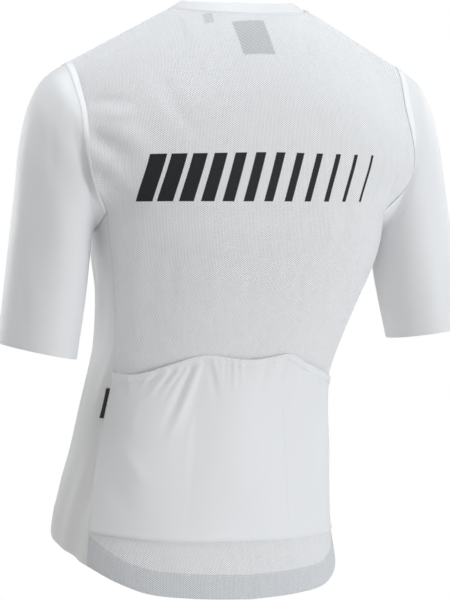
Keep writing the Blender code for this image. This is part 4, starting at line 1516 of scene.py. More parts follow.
@dataclass
class Sleeves:
    """The two sleeves, with the tape bonded along each armhole seam.

    The tape is tape_width wide over the shoulder and tape_end under the arm. free is how far from the seam,
    in millimetres, creases are at their full height.
    """

    panels: BodyPanels
    span_steps: tuple[int, ...] = (6, 8, 16, 20, 26, 26)
    free: float = 10.0
    tape_width: float = 0.0078
    tape_end: float = 0.0034
    tape_thickness: float = 0.0007
    tape_gap: float = 0.0003
    patches: dict[Side, Patch] = field(init=False, default_factory=dict)
    tapes: dict[Side, Patch] = field(init=False, default_factory=dict)

    def armhole(self) -> Array:
        """The left armhole's seam line, from the shoulder down the back, under the arm and up the front."""
        form, one = self.panels.form, np.array([1.0])
        back = form.yoke_columns(one, False, self.panels.yoke_steps)[0][::-1]
        front = form.yoke_columns(one, True, self.panels.yoke_steps)[0]
        angles = np.linspace(form.back_seam, form.front_fold, self.panels.flank_columns + 1)[1:-1]
        under = form.torso(angles, form.armhole_foot(angles))
        return np.concatenate([back, under, front[:-1]])

    @staticmethod
    def ring_angles(line: Array) -> Array:
        """Where each point of the armhole goes on a ring: 0 at the shoulder, half a turn at its lowest."""
        lowest = int(line[:, 2].argmin())
        gone = walked(np.concatenate([line, line[:1]]))
        half, whole = gone[lowest], gone[-1]
        up = 1 + (gone[:-1] - half) / (whole - half)
        return math.pi * np.where(gone[:-1] <= half, gone[:-1] / half, up)

    def lay(self, side: Side) -> Patch:
        """Lays a sleeve from its armhole to its cuff, and creases it."""
        form, line, left = self.panels.form, self.armhole(), side is Side.LEFT
        angle = self.ring_angles(line)[:, None]
        rings = form.left_sleeve if left else form.right_sleeve
        cuff_tilt = form.left_cuff_tilt if left else form.right_cuff_tilt
        knots, y = [line], form.shoulder_end[1]
        for number, ring in enumerate(rings):
            top = np.array([ring.top_out, y, ring.top_z])
            under = np.array([ring.under_out, y, ring.under_z])
            tilt = cuff_tilt * (number / (len(rings) - 1)) ** 3
            round_it = ring.half_depth * np.array([0, 1, -tilt]) * np.sin(angle)
            knots.append((top + under) / 2 + (top - under) / 2 * np.cos(angle) + round_it)
        columns = through(np.stack(knots), self.span_steps)
        patch = Patch.laid(np.concatenate([columns, columns[:1]]), closed=True)
        patch = patch.turned() if left else Patch(patch.points * MIRROR, patch.across, patch.along, True)
        girth = patch.across.max(axis=0, keepdims=True)
        turns = [Patch(patch.points, patch.across + turn * girth, patch.along) for turn in (-1, 0, 1)]
        share, welt = beside_seams(patch.along, self.free)
        return patch.moved(sum(creased(turn, SLEEVE_CREASES[side]) for turn in turns) * share + welt)

    def tape(self, side: Side) -> Patch:
        """Lays the armhole tape on the sleeve, over the shoulder from under the arm to under the arm."""
        sleeve = self.patches[side]
        reach = 3 * self.panels.yoke_steps
        order = np.arange(-reach, reach + 1) % (len(sleeve.points) - 1)
        patch, out = Patch.laid(sleeve.points[order]), sleeve.ways_out()[order]
        points, ways = [], []
        for column, gone in enumerate(patch.along):
            narrowed = eased(np.clip((abs(column - reach) / reach - 0.5) / 0.3, 0, 1))
            rows = np.linspace(0.0, mix(self.tape_width, self.tape_end, narrowed), 6)
            points.append(picked(rows, gone, patch.points[column]))
            ways.append(picked(rows, gone, out[column]))
        return Patch.laid(np.array(points) + unit(np.array(ways)) * (self.tape_thickness + self.tape_gap))

    def build(self) -> None:
        """Makes the sleeves and their tapes."""
        finishes = self.panels.finishes
        for side in Side:
            tube = f"{side.word}_sleeve_tube"
            self.patches[side] = self.lay(side)
            Cloth(
                tube, [self.patches[side]], finishes.sleeve, "smooth_white", f"{side.word}_sleeve",
                ("back_mesh_panel", f"{side.word}_front_panel"),
            ).make()
            self.tapes[side] = self.tape(side)
            Cloth(
                f"{side.word}_armhole_band", [self.tapes[side]], finishes.tape, "tape_white",
                f"{side.word}_armhole_tape", (tube,), "laid", self.tape_thickness, inset=0.0,
            ).make()


SLEEVE_CREASES = {
    Side.LEFT: (
        Crease(((70, 120), (52, 176), (38, 236)), -1.2, 15, 0, 0.7, 0.3),
        Crease(((22, 60), (14, 120), (10, 190), (12, 262)), 1.6, 18, 0.3, 0.5, 0.2),
        Crease(((30, 232), (36, 276), (42, 322)), -1, 9, 0.4, 0.4),
        Crease(((104, 60), (80, 116), (66, 170)), 0.9, 13),
        Crease(((52, 40), (62, 74), (60, 104)), -0.8, 11),
        Crease(((84, 14), (106, 15), (136, 18)), 1.3, 5.5, 0.2, 0.5, 0.2),
        Crease(((146, 16), (166, 13), (188, 14)), -1.1, 3, 0.1, 0.6, 0.6),
        Crease(((190, 16), (206, 18), (222, 12)), 1.3, 4, 0.4, 0.5, 0.4),
        Crease(((206, 30), (220, 24), (240, 16)), -1.6, 5, 0.3, 0.5, 0.3),
        Crease(((176, 40), (196, 46), (214, 44)), 0.8, 6),
        Crease(((300, 24), (282, 44), (268, 58)), -1, 6, 0.6, 0.3),
        Crease(((336, 60), (312, 100), (300, 140)), 0.9, 10),
        Crease(((392, 120), (360, 180), (340, 240)), -0.9, 13),
        Crease(((130, 130), (128, 170), (122, 206)), 0.5, 9),
    ),
    Side.RIGHT: (
        Crease(((150, 26), (168, 22), (190, 20)), -0.9, 3.2, 0.2, 0.6, 0.6),
        Crease(((190, 26), (206, 24), (224, 14)), 1.1, 4.5, 0.4, 0.5, 0.4),
        Crease(((150, 70), (134, 110), (128, 150)), -1.1, 10, 0.3, 0.4, 0.3),
        Crease(((176, 66), (166, 76), (156, 78)), 0.8, 4),
        Crease(((178, 84), (168, 94), (156, 98)), -0.6, 4),
        Crease(((96, 120), (92, 190), (92, 250)), 0.7, 14),
        Crease(((60, 30), (70, 66), (66, 100)), -0.7, 12),
        Crease(((306, 22), (286, 40), (270, 52)), -1, 6, 0.6, 0.3),
        Crease(((330, 64), (308, 108), (298, 150)), 0.9, 10),
        Crease(((400, 116), (370, 170), (346, 220)), -0.9, 13),
    ),
}


@dataclass
class Collar:
    """The low collar band, from one edge of the zip round the neck to the other."""

    panels: BodyPanels
    width: float = 0.017
    rows: int = 7
    thickness: float = 0.0018
    patch: Patch = field(init=False)

    def neck_line(self) -> Array:
        """The neck seam, from the left of the zip round the back to the right of it."""
        form, slot = self.panels.form, self.panels.zip_slot
        share = np.linspace(0, form.neck_share, 2 * self.panels.neck_columns + 1)
        front, back = form.yoke_top(share, True), form.yoke_top(share, False)
        left = np.concatenate([front, back[-2::-1]])
        line = np.concatenate([left, (left[:-1] * MIRROR)[::-1]])
        gone = walked(line)
        return picked(np.linspace(slot, gone[-1] - slot, len(line)), gone, line)

    def build(self) -> None:
        """Makes the collar."""
        line = self.neck_line()
        up = np.linspace(0, self.width, self.rows)[None, :, None]
        self.patch = Patch.laid(line[:, None] + self.panels.form.collar_rise(line)[:, None] * up)
        others = ("back_mesh_panel", "left_front_panel", "right_front_panel")
        obj = Cloth(
            "collar_band", [self.patch], self.panels.finishes.band, "smooth_white", "collar", others,
            thickness=self.thickness, drop=0.00015,
        ).make()
        edge = obj.modifiers.new("turned_edge", "BEVEL")
        edge.width = 0.0007
        edge.segments = 3
        edge.limit_method = "ANGLE"
        edge.angle_limit = math.radians(50)
        edge.harden_normals = False


@dataclass(frozen=True)
class Pocket:
    """A back pocket: its sides as shares of the way to the back seam, and how far it stands off the back."""

    foot_left: float
    mouth_left: float
    foot_right: float
    mouth_right: float
    mouth: float
    belly: float
    columns: int


@dataclass
class Pockets:
    """The pocket panel, sewn down in two lines to make three pockets, and its elastic binding.

    foot and mouth are the heights of the panel's edges across the back. The fold that the seam at its foot
    makes is foot_fold high, fold_up above the edge and fold_width wide. A crease presses in at most the
    share press of a pocket's stand, and sink beyond it. binding_profile is the elastic's section in
    millimetres: how far above the mouth, and how far out of the cloth.
    """

    panels: BodyPanels
    pockets: tuple[Pocket, ...] = (
        Pocket(0.996, 0.996, 0.320, 0.270, 0.0026, 0.0040, 60),
        Pocket(0.320, 0.270, -0.300, -0.245, 0.0019, 0.0032, 46),
        Pocket(-0.300, -0.245, -0.996, -0.996, 0.0019, 0.0036, 54),
    )
    foot: tuple[HeightAt, ...] = (
        HeightAt(-1.0, -0.609), HeightAt(-0.4, -0.613), HeightAt(0.4, -0.612), HeightAt(0.7, -0.607),
        HeightAt(1.0, -0.601),
    )
    mouth: tuple[HeightAt, ...] = (
        HeightAt(-1.0, -0.430), HeightAt(-0.7, -0.422), HeightAt(-0.4, -0.409), HeightAt(-0.24, -0.399),
        HeightAt(0.0, -0.4045), HeightAt(0.27, -0.3995), HeightAt(0.5, -0.410), HeightAt(0.7, -0.420),
        HeightAt(0.85, -0.422), HeightAt(1.0, -0.420),
    )
    rows: int = 66
    side_round: float = 1.4
    off_back: float = 0.0015
    foot_fold: float = 0.0008
    fold_up: float = 2.2 * MM
    fold_width: float = 1.8 * MM
    press: float = 0.8
    sink: float = 0.25 * MM
    free: float = 7.0
    binding_thickness: float = 0.0007
    binding_profile: tuple[tuple[float, float], ...] = (
        (-9.0, 0.55), (-7.5, 0.95), (-5.0, 1.0), (-2.5, 1.0), (-0.5, 0.95), (0.4, 0.4), (0.6, -0.6),
        (0.3, -1.6), (-0.8, -1.95), (-3.0, -1.95), (-6.0, -1.95),
    )
    patch: Patch = field(init=False)
    binding: Patch = field(init=False)

    def lay(self, up: Array) -> tuple[Array, Array, Array]:
        """Lays the pockets' outside without its gathers.

        Args:
            up: Row places from the foot (0) to the mouth (1), as (1, row).

        Returns:
            The points, the ways out there, and how far each point may be pressed in.
        """
        form = self.panels.form
        foot, mouth = Chart(self.foot), Chart(self.mouth)
        made, ways, room = [], [], []
        for number, pocket in enumerate(self.pockets):
            last = number == len(self.pockets) - 1
            part = np.linspace(0, 1, pocket.columns + 1)[: None if last else -1, None]
            left = mix(pocket.foot_left, pocket.mouth_left, up)
            right = mix(pocket.foot_right, pocket.mouth_right, up)
            across = mix(left, right, part)
            height = mix(foot.read("height", across), mouth.read("height", across), up)
            stand = 4 * pocket.belly * up * (1 - up) + pocket.mouth * up**2
            stand = stand * np.maximum(np.sin(math.pi * part), 0) ** self.side_round
            pattern = across * form.back_seam
            out = form.torso_way_out(pattern, height)
            made.append(form.torso(pattern, height) + out * (self.off_back + stand)[..., None])
            ways.append(out)
            room.append(stand)
        return np.concatenate(made), np.concatenate(ways), np.concatenate(room)

    def build(self) -> None:
        """Makes the pocket panel and its binding."""
        up = np.linspace(0, 1, self.rows + 1)[None]
        points, ways, room = self.lay(up)
        patch = Patch.laid(points)
        aside = np.minimum(patch.across, patch.across[-1] - patch.across)
        share, _ = beside_seams(np.minimum(aside, patch.along), self.free)
        lift = creased(patch, POCKET_CREASES) * share + creased(patch, self.sewn_dents(patch))
        lift += self.foot_fold * np.exp(-(((patch.along - self.fold_up) / self.fold_width) ** 2))
        self.patch = patch.moved(np.maximum(lift, -self.press * room - self.sink), ways)
        self.binding = self.lay_binding()
        finishes = self.panels.finishes
        Cloth(
            "pocket_cloth", [self.patch], finishes.smooth, "smooth_white", "pocket_panel",
            ("back_mesh_panel",), "gathered", drop=0.0004,
        ).make()
        Cloth(
            "pocket_elastic", [self.binding], finishes.elastic, "tape_white", "pocket_binding",
            ("pocket_cloth",), "gathered", self.binding_thickness, inset=0.0, drop=0.0002,
        ).make()

    def divider_columns(self) -> tuple[int, int]:
        """The columns along which the panel is sewn to the back."""
        first = self.pockets[0].columns
        return first, first + self.pockets[1].columns

    def sewn_dents(self, patch: Patch) -> list[Crease]:
        """The dents along the two sewn lines."""
        dents = []
        for column in self.divider_columns():
            rows = (0, self.rows // 2, self.rows)
            places = tuple((patch.across[column, k] / MM, patch.along[column, k] / MM) for k in rows)
            dents.append(Crease(places, -0.2, 1.4, 1.0, 0.5, 1.0))
        return dents

    def lay_binding(self) -> Patch:
        """Folds the elastic over the mouth: up its outside, round its edge and down inside it."""
        patch, columns = self.patch, []
        for along, points, ways in zip(patch.along, patch.points, patch.ways_out()):
            up = points[-1] - points[-2]
            up /= np.linalg.norm(up)
            column = []
            for rise, off in self.binding_profile:
                at = min(rise, 0) * MM + along[-1]
                way = unit(picked(at, along, ways))
                column.append(picked(at, along, points) + up * max(rise, 0) * MM + way * off * MM)
            columns.append(column)
        return Patch.laid(np.array(columns))


POCKET_CREASES = (
    Crease(((108, 203), (101, 172), (90.5, 135), (80, 99)), 3, 5.2, 0.75, 0.35),
    Crease(((115.5, 198), (110.5, 158), (100, 114)), -1.6, 4.2, 0.7, 0.3),
    Crease(((98.5, 198), (90, 166), (79, 134), (72, 108)), -1.6, 4, 0.7, 0.3),
    Crease(((112, 186), (108.5, 128), (108, 83), (106.5, 40)), 0.6, 4, 0.3, 0.3),
    Crease(((94.5, 199), (83.5, 179), (75.5, 156), (70, 134)), 1.4, 3.2, 0.9, 0.2),
    Crease(((90, 197), (79, 178), (70, 160)), -0.94, 2.6, 0.8, 0.3),
    Crease(((85, 197), (74, 179), (62.5, 160)), 1.6, 3.3, 0.9, 0.25),
    Crease(((77, 194), (64, 176), (54, 158)), -1.2, 3, 0.7, 0.3),
    Crease(((69, 192), (56, 170), (47, 158)), 1.9, 4, 0.9, 0.3),
    Crease(((58, 190), (48, 178), (43, 166)), -0.81, 2.6, 0.8, 0.3),
    Crease(((52, 189), (42, 179), (37, 174)), 1.2, 2.8, 0.9, 0.3),
    Crease(((45, 162), (39, 134), (40, 108)), 0.8, 6, 0.1, 0.4),
    Crease(((11, 180), (18, 166), (25, 152)), -0.94, 4, 0.6, 0.4),
    Crease(((22, 186), (27, 170), (30, 158)), 0.81, 3.5, 0.8, 0.3),
    Crease(((117.5, 212), (125, 193), (134, 171), (141, 150)), -2.2, 3.7, 1, 0.15),
    Crease(((122.5, 211), (130.5, 192), (138.5, 170)), 1.5, 2.8, 0.9, 0.2),
    Crease(((134.5, 208), (141, 170)), 0.94, 2.3, 0.9, 0.15),
    Crease(((138.5, 208), (146, 168)), -0.94, 2.3, 0.9, 0.15),
    Crease(((142, 208), (148.5, 172)), 0.81, 2.1, 0.9, 0.15),
    Crease(((145, 208), (152, 164)), -1.2, 2.5, 0.9, 0.15),
    Crease(((149.5, 208), (156.5, 166)), 1.2, 2.6, 0.9, 0.15),
    Crease(((154, 208), (160.5, 170)), -0.94, 2.3, 0.9, 0.15),
    Crease(((158.5, 208), (164.5, 172)), 0.81, 2.5, 0.9, 0.15),
    Crease(((163.5, 207), (168, 176)), -0.68, 2.3, 0.9, 0.15),
    Crease(((176, 206), (180, 182)), 0.47, 2.6, 0.9, 0.15),
    Crease(((192, 207), (190.5, 176), (188, 146)), -0.81, 4.4, 0.5, 0.3),
    Crease(((206, 208), (205, 186)), 0.54, 3, 0.9, 0.15),
    Crease(((219, 209), (216, 188), (213, 168)), -0.68, 3, 0.9, 0.2),
    Crease(((246, 208), (250, 188), (252, 166)), -0.81, 3.5, 0.9, 0.2),
    Crease(((254, 206), (258, 190)), 0.61, 3, 0.9, 0.15),
    Crease(((276, 198), (281, 176), (283, 150)), -0.68, 4, 0.8, 0.2),
    Crease(((300, 190), (306, 166), (307, 140)), 0.81, 4.4, 0.8, 0.2),
    Crease(((322, 186), (326, 168)), -0.68, 3.5, 0.8, 0.2),
    Crease(((344, 182), (340, 160), (342, 138)), 0.68, 4.4, 0.7, 0.3),
    Crease(((24, 108), (50, 80), (74, 54)), 1.7, 8.5),
    Crease(((14, 78), (34, 46), (52, 22)), -1.7, 14),
    Crease(((214, 60), (220, 96), (216, 130)), 0.69, 9),
    Crease(((300, 40), (308, 76), (304, 112)), -0.8, 10),
    Crease(((146, 30), (150, 66), (148, 104)), -0.46, 8),
)


INSIDE = 0.0022  # from the back's face to what lies inside it


@dataclass
class HemFacing:
    """The turned-up mesh inside the back's hem."""

    panels: BodyPanels
    start: float = 0.0012
    turn_up: float = 0.030
    rows: int = 12

    def build(self) -> None:
        """Makes the facing, a little short of the side seams."""
        back = self.panels.back.moved(-INSIDE)
        rows = np.linspace(self.start, self.turn_up, self.rows)
        pairs = zip(back.along[2:-2], back.points[2:-2])
        columns = [picked(rows, along - along[0], points) for along, points in pairs]
        Cloth(
            "turned_up_hem", [Patch.laid(np.array(columns))], self.panels.finishes.facing, "mesh_white",
            "hem_facing", ("back_mesh_panel",), "folded", 0.0008, 0.0, 0.0,
        ).make()


@dataclass
class Labels:
    """The label and the size tab inside the back neck, and the loop label in the side seam.

    loop_profile is the loop's way over the flank: how far round it has gone, and its lift in millimetres.
    """

    panels: BodyPanels
    thickness: float = 0.0004
    loop_top: float = -0.438
    loop_tall: float = 0.034
    loop_profile: tuple[tuple[float, float], ...] = (
        (0.00, 0.15), (0.35, 0.75), (0.8, 1.25), (1.5, 1.55), (2.1, 1.6), (2.32, 1.35), (2.30, 0.95),
        (2.0, 0.75), (1.4, 0.70), (0.8, 0.45), (0.30, 0.20),
    )

    def inner_patch(self, look: LabelBehind, steps: int) -> Patch:
        """Lays a label on the inside of the back.

        Args:
            look: The place where it shows through.
            steps: Steps across and up.

        Returns:
            The label's patch, facing out.
        """
        back = self.panels.back.moved(-INSIDE)
        ticks = np.linspace(-1, 1, steps + 1)
        points = []
        for i in ticks:
            for j in ticks:
                across = look.middle_across + i * look.half_across + look.slant * j * look.half_up
                points.append(self.place(back, across, look.middle_up + j * look.half_up))
        return Patch.laid(np.array(points).reshape(steps + 1, steps + 1, 3))

    @staticmethod
    def place(patch: Patch, across: float, along: float) -> Array:
        """The point of a patch at a place on its cloth."""
        row = int(np.abs(patch.along[len(patch.along) // 2] - along).argmin())
        column = int(np.abs(patch.across[:, row] - across).argmin())
        point = patch.points[column, row]
        i = column + 1 if across > patch.across[column, row] else column - 1
        step = patch.across[i, row] - patch.across[column, row]
        point = point + (patch.points[i, row] - point) * (across - patch.across[column, row]) / step
        j = min(row + 1, patch.points.shape[1] - 1)
        up = patch.points[column, j] - patch.points[column, j - 1]
        tall = patch.along[column, j] - patch.along[column, j - 1]
        return point + up * (along - patch.along[column, row]) / tall

    def loop(self) -> Patch:
        """Lays the loop label: out of the left seam, forward over the flank and back under itself."""
        form, share = self.panels.form, np.linspace(0, 1, 9)
        height = self.loop_top - self.loop_tall * (1 - share)
        narrow = 1.25 - 0.22 * np.sin(math.pi * share)
        columns = []
        for turn, lift in self.loop_profile:
            pattern = form.back_seam - 0.1 + turn * narrow + 0.7 * (1 - share)
            out = form.torso_way_out(pattern, height)
            columns.append(form.torso(pattern, height) + out * (lift * 1.25 + 0.1) * MM)
        return Patch.laid(np.array(columns[::-1]))

    def build(self) -> None:
        """Makes the three labels."""
        finishes = self.panels.finishes
        neck, tab = self.inner_patch(NECK_LABEL, 12), self.inner_patch(SIZE_TAB, 6)
        for name, patch, finish, slot, node, held in (
            ("neck_label_film", neck, finishes.grey_label, "label_grey", "neck_label", "laid"),
            ("neck_size_tab", tab, finishes.size_tab, "label_grey", "size_tab", "hung"),
            ("seam_loop_label", self.loop(), finishes.black_label, "label_black", "loop_label", "folded"),
        ):
            piece = Cloth(name, [patch], finish, slot, node, ("back_mesh_panel",), held, self.thickness, 0, 0)
            piece.make()


def bevelled(bm: Bmesh, edges: list[bmesh.types.BMEdge], radius: float, segments: int) -> dict:
    """Rounds some edges of a mesh, and returns what was made."""
    return bmesh.ops.bevel(
        bm, geom=edges, offset=radius, offset_type="OFFSET", segments=segments, profile=0.5, affect="EDGES",
        clamp_overlap=True, material=-1,
    )


@dataclass(frozen=True)
class Block:
    """A box with rounded edges: its lowest and highest corners in its own frame, and its edges' radius."""

    low: tuple[float, float, float]
    high: tuple[float, float, float]
    radius: float
    segments: int = 3

    def add(self, bm: Bmesh, place: Matrix) -> None:
        """Adds the box to a mesh.

        Args:
            bm: The mesh.
            place: Where the box's frame is.
        """
        low, high = Vector(self.low), Vector(self.high)
        verts = bmesh.ops.create_cube(bm, size=1.0)["verts"]
        bmesh.ops.scale(bm, vec=high - low, verts=verts)
        bmesh.ops.translate(bm, vec=(low + high) / 2, verts=verts)
        edges = dict.fromkeys(edge for vert in verts for edge in vert.link_edges)
        made = bevelled(bm, list(edges), self.radius, self.segments)
        touched = {vert for face in made["faces"] for vert in face.verts}
        touched |= {vert for vert in verts if vert.is_valid}
        bmesh.ops.transform(bm, matrix=place, verts=list(touched))


@dataclass
class Zip:
    """The front zip: its two tapes, the coil, the slider with its pull, and the box at its foot.

    tape_depth and coil_sunk are measured in from the fronts' face. A closed tooth's middle is aside from the
    centre, and one that is opening or more above the slider's middle is apart further off. The slider's
    middle is slider_up above the neck seam. Its blocks are its plates, its wedge, its sides and the loop
    that holds the pull; the pull's are its blade and the cheeks round its pin, and it has ribs to grip.
    """

    panels: BodyPanels
    collar: Collar
    tape_inner: float = 0.0004
    tape_outer: float = 0.0130
    tape_depth: float = 0.0023
    tape_thickness: float = 0.0007
    pitch: float = 0.00135
    coil_depth: float = 0.0015
    coil_sunk: float = 0.0006
    tooth: float = 0.00145
    aside: float = 0.0006
    apart: float = 0.0014
    opening: float = 0.006
    slider_up: float = 0.0080
    slider_blocks: tuple[Block, ...] = (
        Block((-0.0036, -0.0003, -0.0050), (0.0036, 0.0007, 0.0050), 0.00042),
        Block((-0.0036, -0.0047, -0.0050), (0.0036, -0.0037, 0.0050), 0.00042),
        Block((-0.0009, -0.0045, 0.0012), (0.0009, 0.0005, 0.0049), 0.0003),
        Block((-0.0036, -0.0009, -0.0048), (-0.0028, 0.0006, 0.0034), 0.0002, 2),
        Block((0.0028, -0.0009, -0.0048), (0.0036, 0.0006, 0.0034), 0.0002, 2),
        Block((-0.0007, 0.0005, 0.0024), (0.0007, 0.0034, 0.0036), 0.0003),
        Block((-0.0007, 0.0005, -0.0036), (0.0007, 0.0034, -0.0024), 0.0003),
        Block((-0.0007, 0.0025, -0.0034), (0.0007, 0.0034, 0.0034), 0.0003),
    )
    pull_blocks: tuple[Block, ...] = (
        Block((-0.0032, -0.0006, -0.0280), (0.0032, 0.0006, -0.0050), 0.00050),
        Block((-0.0032, -0.0006, -0.0060), (-0.0023, 0.0006, 0.0008), 0.00030),
        Block((0.0023, -0.0006, -0.0060), (0.0032, 0.0006, 0.0008), 0.00030),
    )
    rib_top: float = -0.0185
    rib_pitch: float = 0.0021
    ribs: int = 4
    lean: float = 4.0
    pin_out: float = 0.0007 + 0.0011
    pin_radius: float = 0.0005
    pin_length: float = 0.0058
    foot_blocks: tuple[Block, ...] = (
        Block((-0.0028, -0.0017, -0.0080), (0.0028, 0.0017, 0.0), 0.0007),
        Block((-0.0021, 0.0012, -0.0066), (0.0021, 0.0020, -0.0042), 0.0003),
        Block((-0.0021, 0.0012, -0.0030), (0.0021, 0.0020, -0.0012), 0.0003),
    )

    def columns(self, side: Side) -> tuple[Array, Array, Array]:
        """The centre front's line up to the collar's edge.

        Args:
            side: Which front it is read on.

        Returns:
            Its points, the way to the side and the way out.
        """
        form, panels = self.panels.form, self.panels
        share = np.array([0.0, 0.03])
        lines = form.panel_columns(share, True, side, panels.body_rows, panels.yoke_steps)
        foot = lines[:, -1:]
        rise = np.linspace(0, 0.97, 7)[None, 1:, None] * self.collar.width
        lines = np.concatenate([lines, foot + form.collar_rise(foot) * rise], axis=1)
        aside = unit(lines[1] - lines[0])
        return lines[0], aside, unit(np.cross(aside, np.gradient(lines[0], axis=0))) * side.value

    def tape(self, side: Side) -> Patch:
        """Lays a tape inside a front."""
        points, aside, out = self.columns(side)
        lines = []
        for distance in np.linspace(self.tape_inner, self.tape_outer, 7):
            depth = self.tape_depth + (0.0001 if distance < 0.003 else 0.0)
            lines.append(points + aside * distance + out * -depth)
        return Patch.laid(np.stack(lines if side is Side.LEFT else lines[::-1]))

    def slider_frame(self) -> tuple[Vector, Vector, Vector]:
        """The slider's middle, the way out of the zip and the way up it."""
        form = self.panels.form
        neck = form.yoke_top(np.array([0.0]), True)[0]
        rise = form.collar_rise(neck)
        return Vector(neck + rise * self.slider_up), Vector((1, 0, 0)).cross(Vector(rise)), Vector(rise)

    @staticmethod
    def frame_at(middle: Vector, out: Vector, up: Vector) -> Matrix:
        """A place whose Y is the way out and whose Z is the way up."""
        place = Matrix((out.cross(up), out, up)).transposed().to_4x4()
        place.translation = middle
        return place

    def coil(self) -> None:
        """Makes the coil: its teeth closed up to the slider and apart above it."""
        places = []
        middle, _, _ = self.slider_frame()
        for side in Side:
            points, aside, out = self.columns(side)
            spaced = Line(points, out).spaced(self.pitch)
            asides = Line(points, aside).spaced(self.pitch).ways
            shift = 0.5 if side is Side.LEFT else 0.0
            up = unit(np.gradient(spaced.points, axis=0))
            for k in range(3, len(spaced.points) - 1):
                at = mix(spaced.points[k], spaced.points[k + 1], shift)
                shaded_inside_share = min(max((at[2] - middle.z) / self.opening, 0.0), 1.0)
                reach = (self.aside + self.apart * shaded_inside_share) * asides[k]
                place = at + reach - spaced.ways[k] * (self.coil_sunk + self.coil_depth / 2)
                shape = Matrix((
                    Vector(asides[k]) * self.tooth,
                    Vector(spaced.ways[k]) * self.coil_depth / 2,
                    Vector(up[k]) * self.pitch * 0.30,
                ))
                places.append(Matrix.Translation(Vector(place)) @ shape.transposed().to_4x4())
        hard_piece("zip_coil", beads(places, 8, 5), self.panels.finishes.coil, "zip_chain")

    def slider(self) -> None:
        """Makes the slider."""
        place, bm = self.frame_at(*self.slider_frame()), bmesh.new()
        for block in self.slider_blocks:
            block.add(bm, place)
        hard_piece("zip_slider_body", bm, self.panels.finishes.metal, "zip_slider")

    def pull(self) -> None:
        """Makes the pull tab, whose pin turns in the slider's loop."""
        middle, out, up = self.slider_frame()
        pin = middle + out * self.pin_out
        lean = math.radians(self.lean)
        down = (-up * math.cos(lean) - out * math.sin(lean)).normalized()
        facing = down.cross(out.cross(up))
        place = self.frame_at(pin, -facing, -down)
        tops = [self.rib_top - k * self.rib_pitch for k in range(self.ribs)]
        ribs = [Block((-0.0021, -0.00078, top - 0.0009), (0.0021, 0.00078, top), 0.0003, 2) for top in tops]
        bm = bmesh.new()
        for block in (*self.pull_blocks, *ribs):
            block.add(bm, place)
        bar = bmesh.ops.create_cone(
            bm, cap_ends=True, segments=20, radius1=self.pin_radius, radius2=self.pin_radius,
            depth=self.pin_length, matrix=place @ Matrix.Rotation(math.pi / 2, 4, "Y"),
        )["verts"]
        edges = dict.fromkeys(edge for vert in bar for edge in vert.link_edges)
        bevelled(bm, [edge for edge in edges if edge.calc_face_angle(0) > 1.0], 0.00015, 2)
        hard_piece("zip_pull_tab", bm, self.panels.finishes.metal, "zip_pull", "zip_pull")

    def foot(self) -> None:
        """Makes the moulded box at the zip's foot, with its pin's cap."""
        left, right = self.columns(Side.LEFT), self.columns(Side.RIGHT)
        out = Vector(left[2][0])
        foot = Vector((left[0][0] + right[0][0]) / 2) - out * 0.0016
        up = Vector(left[0][2] - left[0][0]).normalized()
        out = (out - up * out.dot(up)).normalized()
        place, bm = self.frame_at(foot - up * 0.001, out, up), bmesh.new()
        for block in self.foot_blocks:
            block.add(bm, place)
        hard_piece("zip_foot_box", bm, self.panels.finishes.coil, "zip_stop")

    def build(self) -> None:
        """Makes the zip."""
        for side in Side:
            Cloth(
                f"{side.word}_zip_band", [self.tape(side)], self.panels.finishes.zip_tape, "zip_white",
                f"{side.word}_zip_tape", (f"{side.word}_front_panel", "collar_band"), "laid",
                self.tape_thickness, 0.0, 0.0,
            ).make()
        self.coil()
        self.slider()
        self.pull()
        self.foot()


# All the sewing


